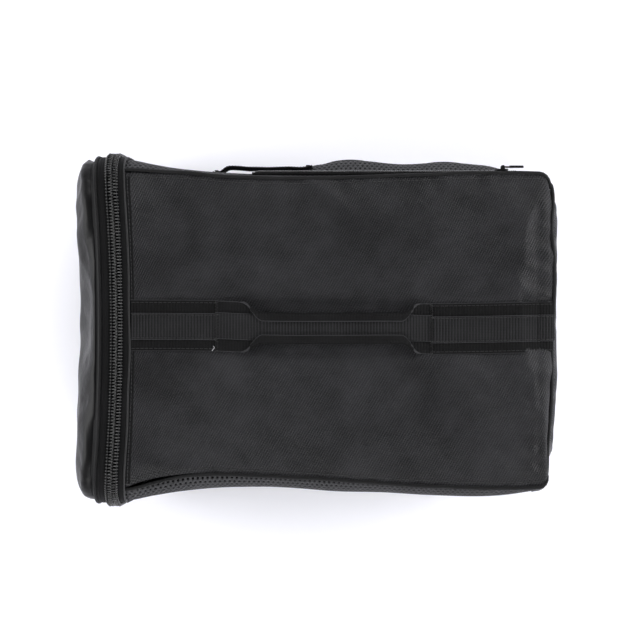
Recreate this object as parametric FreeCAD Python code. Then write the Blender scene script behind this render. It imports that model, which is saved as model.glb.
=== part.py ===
import FreeCAD
import Part
import math
import os

# Box-shaped film changing bag. Millimetres, +Z up. The origin is on the table under the middle of
# the bag: X runs the long way with the zipped lid at -X, and the arm sleeves are on the +Y side.

V = FreeCAD.Vector
OUT = "parts"

# ---- Driving dimensions -------------------------------------------------------------------------
# The padded tube: side walls, top, base and end wall.
TUBE_START_X = -147.0
TUBE_END_X = 178.0
HALF_WIDTH = 120.0
EDGE_Z = 194.0
TOP_CROWN = 4.0
MESH_SIDE_CROWN = 5.0
SLEEVE_SIDE_CROWN = -2.0
END_ROUND = 10.0
SKIN = 2.0
FOAM = 5.0
LINER = 1.0
BOARD = 2.0
WALL = SKIN + FOAM + LINER

# The mouth and its main zip. A level is a distance out from the rim's inner line.
MOUTH_X = -154.0
RIM_HALF_WIDTH = 123.0
RIM_TOP_Z = 196.0
RIM_CORNER_R = 26.0
TAPE_LEVEL = 9.4
TAPE = 0.8
COIL_WIDTH = 4.3
COIL_HEIGHT = 2.6
CHAIN_GAP = 1.2
CHAIN_END_Z = 33.0
SLIDER_LEVEL = 6.3

# The lid, hinged on a sill that stands above the base.
HINGE_Z = 29.0
LID_FRONT_X = -182.0
LID_RIM_X = -166.0
LID_BOTTOM_Z = 29.6
LID_ROUND = 12.5
FABRIC = 1.5
LID_PIPING_R = 2.0

# Piping of the tube: along its long edges and round its end wall.
EDGE_PIPING_R = 2.4
END_PIPING_R = 2.2
END_SEAM = 5.0
END_CORNER_R = 8.0

# Webbing and carrying handle on the top panel.
WIDE_WEBBING = 38.0
NARROW_WEBBING = 20.0
WIDE_THICK = 1.6
NARROW_THICK = 1.4
TACK_FRONT_X = -76.0
TACK_REAR_X = 86.0
GRIP_FRONT_X = -42.0
GRIP_REAR_X = 64.0
GRIP_WIDTH = 24.0
GRIP_FLAP = 7.0
GRIP_BASE_Z = 201.0
STRAP_PLAY = 0.1
TACK_ROW = 2.0
TACK_RISE = 0.5

# Arm ports, gathered sleeves and cuffs on the +Y side. Each is an upright oval: two half circles
# of the given radius, their centres PORT_RISE above and below PORT_Z.
PORT_X = {"front": 24.0, "rear": 100.0}
PORT_Z = 92.0
PORT_RISE = 12.0
PORT_R = 34.0
COLLAR_R = 37.6
SLEEVE_OUTER_R = 37.2
SLEEVE_INNER_R = 31.0
SLEEVE_OUT_Y = 132.0
CUFF_OUTER_R = 30.4
CUFF_INNER_R = 25.0
CUFF_IN_Y = 123.0
CUFF_OUT_Y = 134.5
ELASTIC = 0.8
ELASTIC_INSET = (3.0, 2.0)
COLLAR_THICK = 2.0
SLEEVE_ROUND = 2.6

# Slim pocket with its own zip, along the top of the +Y side.
POCKET_X = (-50.0, 158.0)
POCKET_SLIDER_X = 146.0
POCKET_ZIP_Z = 182.0
POCKET_COIL = 2.7
POCKET_GAP = 0.8
POCKET_TAPE_HALF = 7.0
POCKET_TAPE = 0.6
POCKET_COIL_TOP = 2.2
POCKET_END = 4.0
POCKET_CLOTH = 0.8
POCKET_BOTTOM_Z = 142.0

# Webbing loop on the +Y side.
LOOP_X = (-72.0, -14.0)
LOOP_Z = (137.5, 162.5)
LOOP_THICK = 1.5
LOOP_STAND = 8.0
LOOP_SEWN = 9.0
LOOP_AIR = 0.1
LOOP_BEND = 14.0
LOOP_TACK = 5.0
LOOP_TACK_INSET = 2.0

# Inner blackout flap behind the mouth.
FLANGE_X = -140.0
FLAP_OPENING_HALF = 95.0
FLAP_OPENING_Z = (32.0, 168.0)
FLAP_BOTTOM_Z = 14.0
TOUCH_TAPE_WIDTH = 12.0
TOUCH_TAPE = 1.2
FLAP_CLEARANCE = 0.4

PANEL_NAMES = {
    "top": "top_panel",
    "base": "base_panel",
    "mesh": "mesh_side_panel",
    "sleeve": "sleeve_side_panel",
}
BIG = 600.0


# ---- Basic shapes -------------------------------------------------------------------------------
def block(x0, x1, y0, y1, z0, z1):
    """A box between two corners."""
    return Part.makeBox(x1 - x0, y1 - y0, z1 - z0, V(x0, y0, z0))


def oval_y(x, radius, y0, y1):
    """An upright oval bar along Y at the height of the arm ports."""
    face = Part.Face(oval_wire(x, radius, y0))
    return face.extrude(V(0, y1 - y0, 0))


def oval_wire(x, radius, y):
    """Two half circles joined by upright lines."""
    low, high = PORT_Z - PORT_RISE, PORT_Z + PORT_RISE
    top = Part.Arc(V(x - radius, y, high), V(x, y, high + radius), V(x + radius, y, high))
    bottom = Part.Arc(V(x + radius, y, low), V(x, y, low - radius), V(x - radius, y, low))
    right = Part.makeLine(V(x + radius, y, high), V(x + radius, y, low))
    left = Part.makeLine(V(x - radius, y, low), V(x - radius, y, high))
    return Part.Wire([top.toShape(), right, bottom.toShape(), left])


def oval_tube(x, outer, inner, y0, y1):
    """An upright oval tube along Y at the height of the arm ports."""
    return oval_y(x, outer, y0, y1).cut(oval_y(x, inner, y0 - 1, y1 + 1))


def prism_x(points, x0, x1):
    """A polygon given as (y, z) points, drawn out along X."""
    wire = Part.makePolygon([V(x0, y, z) for y, z in points + points[:1]])
    return Part.Face(wire).extrude(V(x1 - x0, 0, 0))


def crown_edge(x, start, end, crown):
    """An arc between two (y, z) points that stands crown away from the chord, on its left."""
    if abs(crown) < 1e-6:
        return Part.makeLine(V(x, *start), V(x, *end))
    dy, dz = end[0] - start[0], end[1] - start[1]
    length = math.hypot(dy, dz)
    middle = (
        (start[0] + end[0]) / 2 - crown * dz / length,
        (start[1] + end[1]) / 2 + crown * dy / length,
    )
    return Part.Arc(V(x, *start), V(x, *middle), V(x, *end)).toShape()


def bullet(low, high, end_x, radius):
    """A long outline in (x, height) whose two corners at end_x are rounded."""
    bow = radius * (1 - math.sqrt(0.5))
    start_x = TUBE_START_X - 50

    def point(x, height):
        return V(x, height, 0)

    upper = Part.Arc(
        point(end_x - radius, high), point(end_x - bow, high - bow), point(end_x, high - radius)
    )
    lower = Part.Arc(
        point(end_x, low + radius), point(end_x - bow, low + bow), point(end_x - radius, low)
    )
    return Part.Wire(
        [
            Part.makeLine(point(start_x, low), point(start_x, high)),
            Part.makeLine(point(start_x, high), point(end_x - radius, high)),
            upper.toShape(),
            Part.makeLine(point(end_x, high - radius), point(end_x, low + radius)),
            lower.toShape(),
            Part.makeLine(point(end_x - radius, low), point(start_x, low)),
        ]
    )


def end_rounding(offset):
    """The space inside the rounded edges of the tube's closed end."""
    air = 0.5
    end_x = TUBE_END_X + offset
    radius = END_ROUND + offset
    plan_low = -HALF_WIDTH - MESH_SIDE_CROWN - offset - air
    plan = bullet(plan_low, HALF_WIDTH + offset + air, end_x, radius)
    plan_bar = Part.Face(plan).extrude(V(0, 0, BIG)).translated(V(0, 0, -BIG / 2))
    side = bullet(-offset - air, EDGE_Z + TOP_CROWN + offset + air, end_x, radius)
    side_bar = Part.Face(side).extrude(V(0, 0, BIG)).translated(V(0, 0, -BIG / 2))
    side_bar.rotate(V(0, 0, 0), V(1, 0, 0), 90)
    return plan_bar.common(side_bar)


def tube_solid(offset):
    """The padded tube as one solid with its surface moved out by offset, its far end rounded."""
    half = HALF_WIDTH + offset
    low, high = -offset, EDGE_Z + offset
    corners = [(-half, low), (-half, high), (half, high), (half, low)]
    crowns = [MESH_SIDE_CROWN, TOP_CROWN, SLEEVE_SIDE_CROWN, 0.0]
    edges = [
        crown_edge(TUBE_START_X, corners[i], corners[(i + 1) % 4], crowns[i])
        for i in range(4)
    ]
    length = TUBE_END_X + offset - TUBE_START_X
    solid = Part.Face(Part.Wire(edges)).extrude(V(length + 10, 0, 0))
    return solid.common(end_rounding(offset)).Solids[0]


def layer(outer, inner):
    """The part of the tube's wall between two offsets."""
    return tube_solid(outer).cut(tube_solid(inner))


def wall_zone(side, inner):
    """The space that holds one wall of a layer whose inside stands at the offset inner."""
    top = EDGE_Z + inner - 1.0
    base = -inner + 1.0
    zones = {
        "top": (-BIG, BIG, top, BIG),
        "base": (-BIG, BIG, -BIG, base),
        "mesh": (-BIG, 0, base, top),
        "sleeve": (0, BIG, base, top),
    }
    y0, y1, z0, z1 = zones[side]
    return block(-BIG, BIG, y0, y1, z0, z1)


def rounded_wire(x, half, low, high, r_top, r_low):
    """A closed rectangle with rounded corners in the plane at x."""
    pieces = []
    centres = [
        (half - r_top, high - r_top, r_top, 0),
        (-half + r_top, high - r_top, r_top, 90),
        (-half + r_low, low + r_low, r_low, 180),
        (half - r_low, low + r_low, r_low, 270),
    ]
    ends = []
    for y, z, radius, start in centres:
        points = []
        for turn in (0, 45, 90):
            angle = math.radians(start + turn)
            points.append(V(x, y + radius * math.cos(angle), z + radius * math.sin(angle)))
        pieces.append(Part.Arc(*points).toShape())
        ends.append((points[0], points[2]))
    for i in range(4):
        pieces.append(Part.makeLine(ends[i][1], ends[(i + 1) % 4][0]))
    return Part.Wire(Part.__sortEdges__(pieces))


def rounded_block(x0, x1, half, low, high, r_top, r_low):
    """A rectangle with rounded corners, drawn out along X."""
    face = Part.Face(rounded_wire(x0, half, low, high, r_top, r_low))
    return face.extrude(V(x1 - x0, 0, 0))


def level_block(x0, x1, level, low, r_low):
    """A block whose sides and top stand level out from the rim's inner line."""
    radius = RIM_CORNER_R + level
    return rounded_block(
        x0, x1, RIM_HALF_WIDTH + level, low, RIM_TOP_Z + level, radius, r_low
    )


def arch(x0, x1, inner, outer, low):
    """A band over the two sides and the top of the rim, open at the bottom."""
    band = level_block(x0, x1, outer, -40, 5).cut(level_block(x0 - 1, x1 + 1, inner, -60, 5))
    return band.common(block(x0 - 1, x1 + 1, -BIG, BIG, low, BIG))


def swept_round(wire, radius):
    """A round cord along a wire that lies in a plane of constant X."""
    start = wire.Edges[0]
    point = start.valueAt(start.FirstParameter)
    direction = start.tangentAt(start.FirstParameter)
    circle = Part.Wire(Part.makeCircle(radius, point, direction))
    return wire.makePipeShell([circle], True, False)


def main_solids(shape, smallest=20.0):
    """The solids of a shape that are big enough to be real pieces."""
    kept = [s for s in shape.Solids if s.Volume > smallest]
    return kept[0] if len(kept) == 1 else Part.makeCompound(kept)


# ---- The padded tube ----------------------------------------------------------------------------
def end_window(x0, grow=0.0):
    """The flat middle of the end wall, inside its piping."""
    half = HALF_WIDTH - END_ROUND - 1 + grow
    low = WALL - grow
    return rounded_block(x0, BIG, half, low, EDGE_Z - low, END_CORNER_R, END_CORNER_R)


def port_holes():
    """Both arm ports as bars through the +Y wall."""
    return Part.makeCompound([oval_y(x, PORT_R, 60, 200) for x in PORT_X.values()])


def pocket_slot():
    """The slit behind the pocket's zip."""
    half = POCKET_COIL + POCKET_GAP / 2 + 1.4
    return block(
        POCKET_X[0] + 4, POCKET_X[1] - 4, 60, 200, POCKET_ZIP_Z - half, POCKET_ZIP_Z + half
    )


def edge_line_centres():
    """Where the four long edge cords run, as (y, z)."""
    upper = (HALF_WIDTH, EDGE_Z)
    lower = (HALF_WIDTH + 0.6, EDGE_PIPING_R + 0.4)
    return [(side * y, z) for side in (-1, 1) for y, z in (upper, lower)]


def edge_cords():
    """Piping along the four long edges of the tube."""
    x0, x1 = TUBE_START_X + 6, TUBE_END_X - END_ROUND - 2
    cords = []
    for y, z in edge_line_centres():
        cords.append(Part.makeCylinder(EDGE_PIPING_R, x1 - x0, V(x0, y, z), V(1, 0, 0)))
    return Part.makeCompound(cords)


def edge_notches():
    """Square seams cut along the long edges of the skin to seat the cords."""
    reach = EDGE_PIPING_R + 0.3
    notches = []
    for y, z in edge_line_centres():
        notches.append(
            block(-BIG, TUBE_END_X - END_ROUND, y - reach, y + reach, z - reach, z + reach)
        )
    return notches


def end_cord():
    """Piping round the end wall, in the seam between its border and its flat panel."""
    grow = END_SEAM / 2
    half = HALF_WIDTH - END_ROUND - 1 + grow
    low = WALL - grow
    radius = END_CORNER_R + grow
    centre_x = TUBE_END_X - SKIN + END_PIPING_R + 0.3
    wire = rounded_wire(centre_x, half, low, EDGE_Z - low, radius, radius)
    return swept_round(wire, END_PIPING_R)


def skins():
    """The outer fabric panels."""
    skin = layer(0, -SKIN)
    border = skin.cut(end_window(TUBE_END_X - END_ROUND, END_SEAM))
    panels = {"end_panel": skin.common(end_window(TUBE_END_X - END_ROUND))}
    for side in ("top", "base", "mesh", "sleeve"):
        panel = border.common(wall_zone(side, -SKIN))
        for notch in edge_notches():
            panel = panel.cut(notch)
        panels[PANEL_NAMES[side]] = panel
    cut_side = panels["sleeve_side_panel"].cut(port_holes()).cut(pocket_slot())
    panels["sleeve_side_panel"] = cut_side
    return panels


def padding(pocket):
    """Foam inside each panel, and the stiff board that keeps the base flat."""
    window = end_window(TUBE_END_X - SKIN - FOAM - 0.5)
    inner = -SKIN - FOAM
    foam = layer(-SKIN, inner)
    border = foam.cut(window)
    board_zone = block(-BIG, TUBE_END_X - END_ROUND, -BIG, BIG, SKIN, SKIN + BOARD)
    base = border.common(wall_zone("base", inner))
    sleeve_side = border.common(wall_zone("sleeve", inner)).cut(port_holes()).cut(pocket)
    return {
        "top_foam": border.common(wall_zone("top", inner)),
        "base_board": base.common(board_zone),
        "base_foam": base.cut(board_zone),
        "mesh_side_foam": border.common(wall_zone("mesh", inner)),
        "sleeve_side_foam": sleeve_side.cut(pocket_slot()),
        "end_foam": foam.common(window),
    }


def chamber_liner():
    """The light-tight lining of the chamber, open at the mouth and at both arm ports."""
    return layer(-SKIN - FOAM, -WALL).cut(port_holes())


# ---- Mouth, main zip and sill -------------------------------------------------------------------
def mouth_binding():
    """The stiff bound rim that stands round the mouth on three sides."""
    band = arch(TUBE_START_X, TUBE_START_X + 5.5, -3.0 - SKIN, TAPE_LEVEL, 0.0)
    return band.cut(tube_solid(0))


def mouth_facing():
    """The strip that covers the raw front edges of the walls."""
    plate = level_block(TUBE_START_X - 1, TUBE_START_X, SLIDER_LEVEL, 0.0, 3)
    return plate.cut(tube_solid(-WALL).translated(V(-20, 0, 0)))


def front_sill():
    """The low stiff wall under the lid that the lid is hinged to."""
    return block(
        MOUTH_X + 0.5, TUBE_START_X - 1, -RIM_HALF_WIDTH, RIM_HALF_WIDTH, 0, HINGE_Z - 1
    )


def lid_hinge_strip():
    """Fabric inside the hinge line, sewn to the sill and turned up behind the lid."""
    half = HALF_WIDTH - WALL - 1
    low = block(TUBE_START_X - 1, TUBE_START_X, -half, half, WALL + 2, HINGE_Z)
    shelf = block(MOUTH_X + 0.5, TUBE_START_X - 0.5, -half, half, HINGE_Z - 1, HINGE_Z)
    riser = block(MOUTH_X + 0.5, MOUTH_X + 1.3, -half, half, HINGE_Z, HINGE_Z + 8)
    return low.fuse(shelf).fuse(riser).removeSplitter()


def body_zip():
    """The bag's half of the main zip: tape and coil."""
    front = MOUTH_X + CHAIN_GAP / 2
    tape_top = TAPE_LEVEL + TAPE
    return {
        "body_zip_tape": arch(front, TUBE_START_X + 5, TAPE_LEVEL, tape_top, CHAIN_END_Z),
        "body_zip_coil": arch(
            front, front + COIL_WIDTH, tape_top, tape_top + COIL_HEIGHT, CHAIN_END_Z
        ),
    }


def zip_end_tabs():
    """Fabric tabs that close the two bottom ends of the main zip."""
    tabs = []
    for side in (-1, 1):
        y0, y1 = sorted(
            (side * (RIM_HALF_WIDTH + TAPE_LEVEL), side * (RIM_HALF_WIDTH + TAPE_LEVEL + 2.4))
        )
        tabs.append(block(TUBE_START_X, TUBE_START_X + 5, y0, y1, 12, CHAIN_END_Z - 0.2))
    return Part.makeCompound(tabs)


# ---- Lid ----------------------------------------------------------------------------------------
def lid_dome(level, front, radius):
    """A pillow-shaped block in front of the lid's rim, with its front edges rounded."""
    solid = rounded_block(
        front,
        LID_RIM_X,
        RIM_HALF_WIDTH + level,
        LID_BOTTOM_Z + TAPE_LEVEL - level,
        RIM_TOP_Z + level,
        RIM_CORNER_R + level,
        14,
    )
    front_edges = [
        e for e in solid.Edges if all(abs(v.Point.x - front) < 1e-6 for v in e.Vertexes)
    ]
    return solid.makeFillet(radius, front_edges)


def lid_parts():
    """The padded lid: cover, foam, gusset, piping, lining and its half of the zip."""
    step = 1.0
    cover_level = TAPE_LEVEL - 1.0
    outer = lid_dome(cover_level, LID_FRONT_X, LID_ROUND)
    inner = lid_dome(cover_level - FABRIC, LID_FRONT_X + FABRIC, LID_ROUND - FABRIC)
    cover = outer.cut(inner)

    core_level = SLIDER_LEVEL - FABRIC
    low = LID_BOTTOM_Z
    groove_x = MOUTH_X - 7.2
    back_x = MOUTH_X - step
    wide = level_block(LID_RIM_X, groove_x, TAPE_LEVEL, low, 12)
    narrow = level_block(groove_x, back_x, SLIDER_LEVEL, low, 12)
    core = level_block(LID_RIM_X - 1, back_x + 1, core_level, low + FABRIC, 10)
    gusset = wide.fuse(narrow).removeSplitter().cut(core)

    liner_x = back_x - 1.0
    foam = inner.fuse(level_block(LID_RIM_X, liner_x, core_level, low + FABRIC, 10))
    liner = level_block(liner_x, back_x, core_level, low + FABRIC, 10)

    wire = rounded_wire(
        LID_RIM_X - 0.4,
        RIM_HALF_WIDTH + TAPE_LEVEL,
        low + LID_PIPING_R,
        RIM_TOP_Z + TAPE_LEVEL,
        RIM_CORNER_R + TAPE_LEVEL,
        12,
    )
    piping = swept_round(wire, LID_PIPING_R).cut(cover).cut(gusset).cut(foam)

    back = MOUTH_X - CHAIN_GAP / 2
    tape_top = TAPE_LEVEL + TAPE
    return {
        "lid_cover": cover,
        "lid_foam": foam,
        "lid_gusset": gusset,
        "lid_piping": piping,
        "lid_liner": liner,
        "lid_zip_tape": arch(LID_RIM_X + 2.5, back, TAPE_LEVEL, tape_top, CHAIN_END_Z),
        "lid_zip_coil": arch(
            back - COIL_WIDTH, back, tape_top, tape_top + COIL_HEIGHT, CHAIN_END_Z
        ),
    }


# ---- Blackout flap ------------------------------------------------------------------------------
def flap_parts():
    """The flange behind the mouth and the flap that closes on it with hook-and-loop tape."""
    low, high = FLAP_OPENING_Z
    chamber = tube_solid(-WALL)
    plate = chamber.common(block(FLANGE_X, FLANGE_X + FABRIC, -BIG, BIG, -BIG, BIG))
    opening = rounded_block(
        FLANGE_X - 1, FLANGE_X + 5, FLAP_OPENING_HALF, low, high, 20, 10
    )
    x0 = FLANGE_X + FABRIC
    x1 = x0 + TOUCH_TAPE

    def touch_tape(start, end):
        outer = rounded_block(
            start,
            end,
            FLAP_OPENING_HALF + TOUCH_TAPE_WIDTH,
            low,
            high + TOUCH_TAPE_WIDTH,
            20 + TOUCH_TAPE_WIDTH,
            1,
        )
        inner = rounded_block(
            start - 1, end + 1, FLAP_OPENING_HALF + 1, low - 40, high + 1, 21, 1
        )
        return outer.cut(inner)

    x2 = x1 + FLAP_CLEARANCE
    x3 = x2 + TOUCH_TAPE
    flap = rounded_block(
        x3,
        x3 + FABRIC,
        FLAP_OPENING_HALF + TOUCH_TAPE_WIDTH + 1,
        FLAP_BOTTOM_Z,
        high + TOUCH_TAPE_WIDTH + 1,
        20 + TOUCH_TAPE_WIDTH,
        4,
    )
    half = FLAP_OPENING_HALF
    strip = block(x0, x3 - 0.1, -half, half, FLAP_BOTTOM_Z + 1, FLAP_BOTTOM_Z + 2)
    return {
        "flap_flange": plate.cut(opening),
        "flap_hinge_strip": strip,
        "flap_hook_tape": touch_tape(x0, x1),
        "flap_loop_tape": touch_tape(x2, x3),
        "blackout_flap": flap,
    }


# ---- Webbing and handle -------------------------------------------------------------------------
def strap(width, inner, outer, x0, x1):
    """A flat strap that follows the top panel and its rounded end."""
    zone = block(x0, x1, -width / 2, width / 2, EDGE_Z - 9, BIG)
    return layer(outer, inner).common(zone)


def straps():
    """The two sewn stretches of wide webbing, each with the narrow webbing on it."""
    ends = (TUBE_START_X + 6, TUBE_END_X - SKIN - 1)
    top = WIDE_THICK + NARROW_THICK
    wide = [
        strap(WIDE_WEBBING, 0, WIDE_THICK, ends[0], TACK_FRONT_X),
        strap(WIDE_WEBBING, 0, WIDE_THICK, TACK_REAR_X, ends[1]),
    ]
    narrow = [
        strap(NARROW_WEBBING, WIDE_THICK, top, ends[0], TACK_FRONT_X),
        strap(NARROW_WEBBING, WIDE_THICK, top, TACK_REAR_X, ends[1]),
    ]
    return wide, narrow


def bar_tacks():
    """Dense rows of thread across the webbing at both roots of the handle."""
    top = WIDE_THICK + NARROW_THICK
    tacks = []
    for x in (TACK_FRONT_X - TACK_RISE - TACK_ROW, TACK_REAR_X + TACK_RISE):
        tacks.append(strap(NARROW_WEBBING - 2, top, top + TACK_RISE, x, x + TACK_ROW))
    return Part.makeCompound(tacks)


def handle_section():
    """The folded webbing of the grip as a closed outline: a tray with two turned-in flaps."""
    half = GRIP_WIDTH / 2
    base = GRIP_BASE_Z
    low = base + WIDE_THICK
    inner_top = low + NARROW_THICK + STRAP_PLAY
    top = inner_top + WIDE_THICK
    lip = half - GRIP_FLAP
    side = half - WIDE_THICK
    points = [
        (-half, base),
        (half, base),
        (half, top),
        (lip, top),
        (lip, inner_top),
        (side, inner_top),
        (side, low),
        (-side, low),
        (-side, inner_top),
        (-lip, inner_top),
        (-lip, top),
        (-half, top),
    ]
    return points


def handle_parts():
    """The free middle of the webbing: a folded grip, its inner strap and two flexible legs."""
    grip = prism_x(handle_section(), GRIP_FRONT_X, GRIP_REAR_X)
    base = GRIP_BASE_Z
    low = base + WIDE_THICK
    inner_half = GRIP_WIDTH / 2 - WIDE_THICK - STRAP_PLAY
    inner = block(GRIP_FRONT_X, GRIP_REAR_X, -inner_half, inner_half, low, low + NARROW_THICK)
    top = low + NARROW_THICK + STRAP_PLAY + WIDE_THICK
    sewn_z = EDGE_Z + TOP_CROWN
    legs = {}
    for name, root_x, grip_x in (
        ("handle_leg_front", TACK_FRONT_X, GRIP_FRONT_X),
        ("handle_leg_rear", TACK_REAR_X, GRIP_REAR_X),
    ):
        root = Part.makePolygon(
            [
                V(root_x, y, z)
                for y, z in (
                    (-WIDE_WEBBING / 2, sewn_z),
                    (WIDE_WEBBING / 2, sewn_z),
                    (WIDE_WEBBING / 2, sewn_z + 3),
                    (-WIDE_WEBBING / 2, sewn_z + 3),
                    (-WIDE_WEBBING / 2, sewn_z),
                )
            ]
        )
        end = Part.makePolygon(
            [
                V(grip_x, y, z)
                for y, z in (
                    (-GRIP_WIDTH / 2, base),
                    (GRIP_WIDTH / 2, base),
                    (GRIP_WIDTH / 2, top),
                    (-GRIP_WIDTH / 2, top),
                    (-GRIP_WIDTH / 2, base),
                )
            ]
        )
        leg = Part.makeLoft([root, end], True, True)
        legs[name] = leg.cut(tube_solid(0))
    return {"handle_grip": grip, "handle_inner_strap": inner, **legs}


# ---- Arm ports and sleeves ----------------------------------------------------------------------
def sleeve_parts():
    """Sewn port collars, gathered sleeves, and cuffs with an elastic in each."""
    collar_layer = layer(COLLAR_THICK, 0)
    collars = []
    parts = {}
    for name, x in PORT_X.items():
        collars.append(collar_layer.common(oval_tube(x, COLLAR_R, PORT_R, 60, 160)))
        sleeve = oval_tube(x, SLEEVE_OUTER_R, SLEEVE_INNER_R, 60, SLEEVE_OUT_Y)
        outer_edges = [
            e
            for e in sleeve.Edges
            if all(abs(v.Point.y - SLEEVE_OUT_Y) < 1e-6 for v in e.Vertexes)
        ]
        sleeve = sleeve.makeFillet(SLEEVE_ROUND, outer_edges)
        parts[f"sleeve_{name}"] = sleeve.cut(tube_solid(COLLAR_THICK))
        middle = (CUFF_OUTER_R + CUFF_INNER_R) / 2
        cuff = oval_tube(x, CUFF_OUTER_R, CUFF_INNER_R, CUFF_IN_Y, CUFF_OUT_Y)
        start, end = CUFF_IN_Y + ELASTIC_INSET[0], CUFF_OUT_Y - ELASTIC_INSET[1]
        elastic = oval_tube(x, middle + ELASTIC / 2, middle - ELASTIC / 2, start, end)
        parts[f"cuff_{name}"] = cuff.cut(elastic)
        parts[f"cuff_elastic_{name}"] = elastic
    parts["port_collars"] = Part.makeCompound(collars)
    return parts


# ---- Side pocket --------------------------------------------------------------------------------
def pocket_parts():
    """The slim pocket on the +Y side: zip tape, both coils and the flat bag behind."""
    x0, x1 = POCKET_X
    half_gap = POCKET_GAP / 2
    slit = block(
        x0 + POCKET_END,
        x1 - POCKET_END,
        60,
        200,
        POCKET_ZIP_Z - half_gap,
        POCKET_ZIP_Z + half_gap,
    )
    zone = block(
        x0, x1, 60, 200, POCKET_ZIP_Z - POCKET_TAPE_HALF, POCKET_ZIP_Z + POCKET_TAPE_HALF
    )
    tape = layer(POCKET_TAPE, 0).common(zone).cut(slit)
    coil_layer = layer(POCKET_COIL_TOP, POCKET_TAPE)
    coils = []
    for side in (-1, 1):
        near = POCKET_ZIP_Z + side * half_gap
        z0, z1 = sorted((near, near + side * POCKET_COIL))
        zone = block(x0 + POCKET_END, x1 - POCKET_END, 60, 200, z0, z1)
        coils.append(coil_layer.common(zone))
    bag_zone = block(x0, x1, 60, 200, POCKET_BOTTOM_Z, POCKET_ZIP_Z)
    bag = layer(-SKIN, -SKIN - POCKET_CLOTH).common(bag_zone).cut(pocket_slot())
    return {
        "pocket_zip_tape": tape,
        "pocket_zip_coil": Part.makeCompound(coils),
        "pocket_bag": bag,
    }


# ---- Side loop ----------------------------------------------------------------------------------
def side_wall_y(z):
    """Where the +Y wall's outer surface stands at a height."""
    middle = EDGE_Z / 2
    return HALF_WIDTH + SLEEVE_SIDE_CROWN * (1 - ((z - middle) / middle) ** 2)


def side_loop():
    """A webbing loop that stands off the +Y wall between two sewn ends."""
    x0, x1 = LOOP_X
    z0, z1 = LOOP_Z
    base = side_wall_y(z0) + LOOP_AIR
    rise = base + LOOP_STAND
    mid = (x0 + x1) / 2
    inset = LOOP_BEND

    def outline(stand):
        points = [
            V(x0, base + stand, z0),
            V(x0 + inset / 2, base + stand + (rise - base) * 0.45, z0),
            V(x0 + inset, rise - LOOP_THICK + stand - 0.6, z0),
            V(mid, rise - LOOP_THICK + stand, z0),
            V(x1 - inset, rise - LOOP_THICK + stand - 0.6, z0),
            V(x1 - inset / 2, base + stand + (rise - base) * 0.45, z0),
            V(x1, base + stand, z0),
        ]
        curve = Part.BSplineCurve()
        curve.interpolate(points)
        return curve.toShape(), points[0], points[-1]

    inner, inner_start, inner_end = outline(0.0)
    outer, outer_start, outer_end = outline(LOOP_THICK)
    lines = [
        Part.makeLine(inner_end, inner_end + V(LOOP_SEWN, 0, 0)),
        Part.makeLine(inner_end + V(LOOP_SEWN, 0, 0), outer_end + V(LOOP_SEWN, 0, 0)),
        Part.makeLine(outer_end + V(LOOP_SEWN, 0, 0), outer_end),
        Part.makeLine(outer_start, outer_start - V(LOOP_SEWN, 0, 0)),
        Part.makeLine(outer_start - V(LOOP_SEWN, 0, 0), inner_start - V(LOOP_SEWN, 0, 0)),
        Part.makeLine(inner_start - V(LOOP_SEWN, 0, 0), inner_start),
    ]
    wire = Part.Wire(Part.__sortEdges__([inner, outer] + lines))
    band = Part.Face(wire).extrude(V(0, 0, z1 - z0))
    return band.cut(tube_solid(0))


def loop_tacks():
    """Thread blocks that hold the loop's two sewn ends."""
    z0, z1 = LOOP_Z
    base = side_wall_y(z0) + LOOP_AIR + LOOP_THICK
    z0, z1 = z0 + LOOP_TACK_INSET, z1 - LOOP_TACK_INSET
    tacks = []
    for x in (LOOP_X[0] - LOOP_SEWN + LOOP_TACK_INSET, LOOP_X[1] + LOOP_TACK_INSET):
        tacks.append(block(x, x + LOOP_TACK, base, base + TACK_RISE, z0, z1))
    return Part.makeCompound(tacks)


# ---- Zip sliders --------------------------------------------------------------------------------
# A slider is drawn with its travel along +Z, its outer plate facing -Y and its pivot along X, with
# the middle of the chain at x = 0 and the outside of the coil at y = 0.
PLATE_AIR = 0.4
LUG = 1.1
LUG_R = 1.5
PIN_R = 0.7
PIN_BORE_R = 0.95
EYE_R = 1.35
TAB_THICK = 1.6


def slider_body(length, width, coil_width, coil_height, tape, gap, plate):
    """Two plates joined by a thin wedge that runs between the two coils, open on the lid's side."""
    air = PLATE_AIR
    half = width / 2
    outer = block(-half, half, -air - plate, -air, 0, length)
    rounded = [
        e
        for e in outer.Edges
        if abs(e.Vertexes[0].Point.x - e.Vertexes[1].Point.x) < 1e-6
        and abs(e.Vertexes[0].Point.z - e.Vertexes[1].Point.z) < 1e-6
    ]
    outer = outer.makeFillet(width * 0.22, rounded)
    depth = coil_height + tape
    inner = block(-half, half, depth + air, depth + air + plate, 0, length)
    fin = block(-gap / 2 + 0.3, gap / 2 - 0.3, -air - plate, depth + air + plate, 1, length - 1)
    wall_x = gap / 2 + coil_width + air
    wall = block(wall_x, half, -air - plate, coil_height - air, 1, length - 1)
    body = outer.fuse(inner).fuse(fin).fuse(wall)

    lug_gap = width * 0.3
    pivot_y = -air - plate - LUG_R
    pivot_z = length * 0.42
    for side in (-1, 1):
        x0, x1 = sorted((side * lug_gap / 2, side * (lug_gap / 2 + LUG)))
        cheek = block(x0, x1, pivot_y, -air - plate / 2, pivot_z - LUG_R, pivot_z + LUG_R)
        head = Part.makeCylinder(LUG_R, LUG, V(x0, pivot_y, pivot_z), V(1, 0, 0))
        body = body.fuse(cheek).fuse(head)
    pin_start = V(-lug_gap / 2 - LUG / 2, pivot_y, pivot_z)
    pin = Part.makeCylinder(PIN_R, lug_gap + LUG, pin_start, V(1, 0, 0))
    return body.fuse(pin).removeSplitter(), pivot_y, pivot_z, lug_gap


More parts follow.
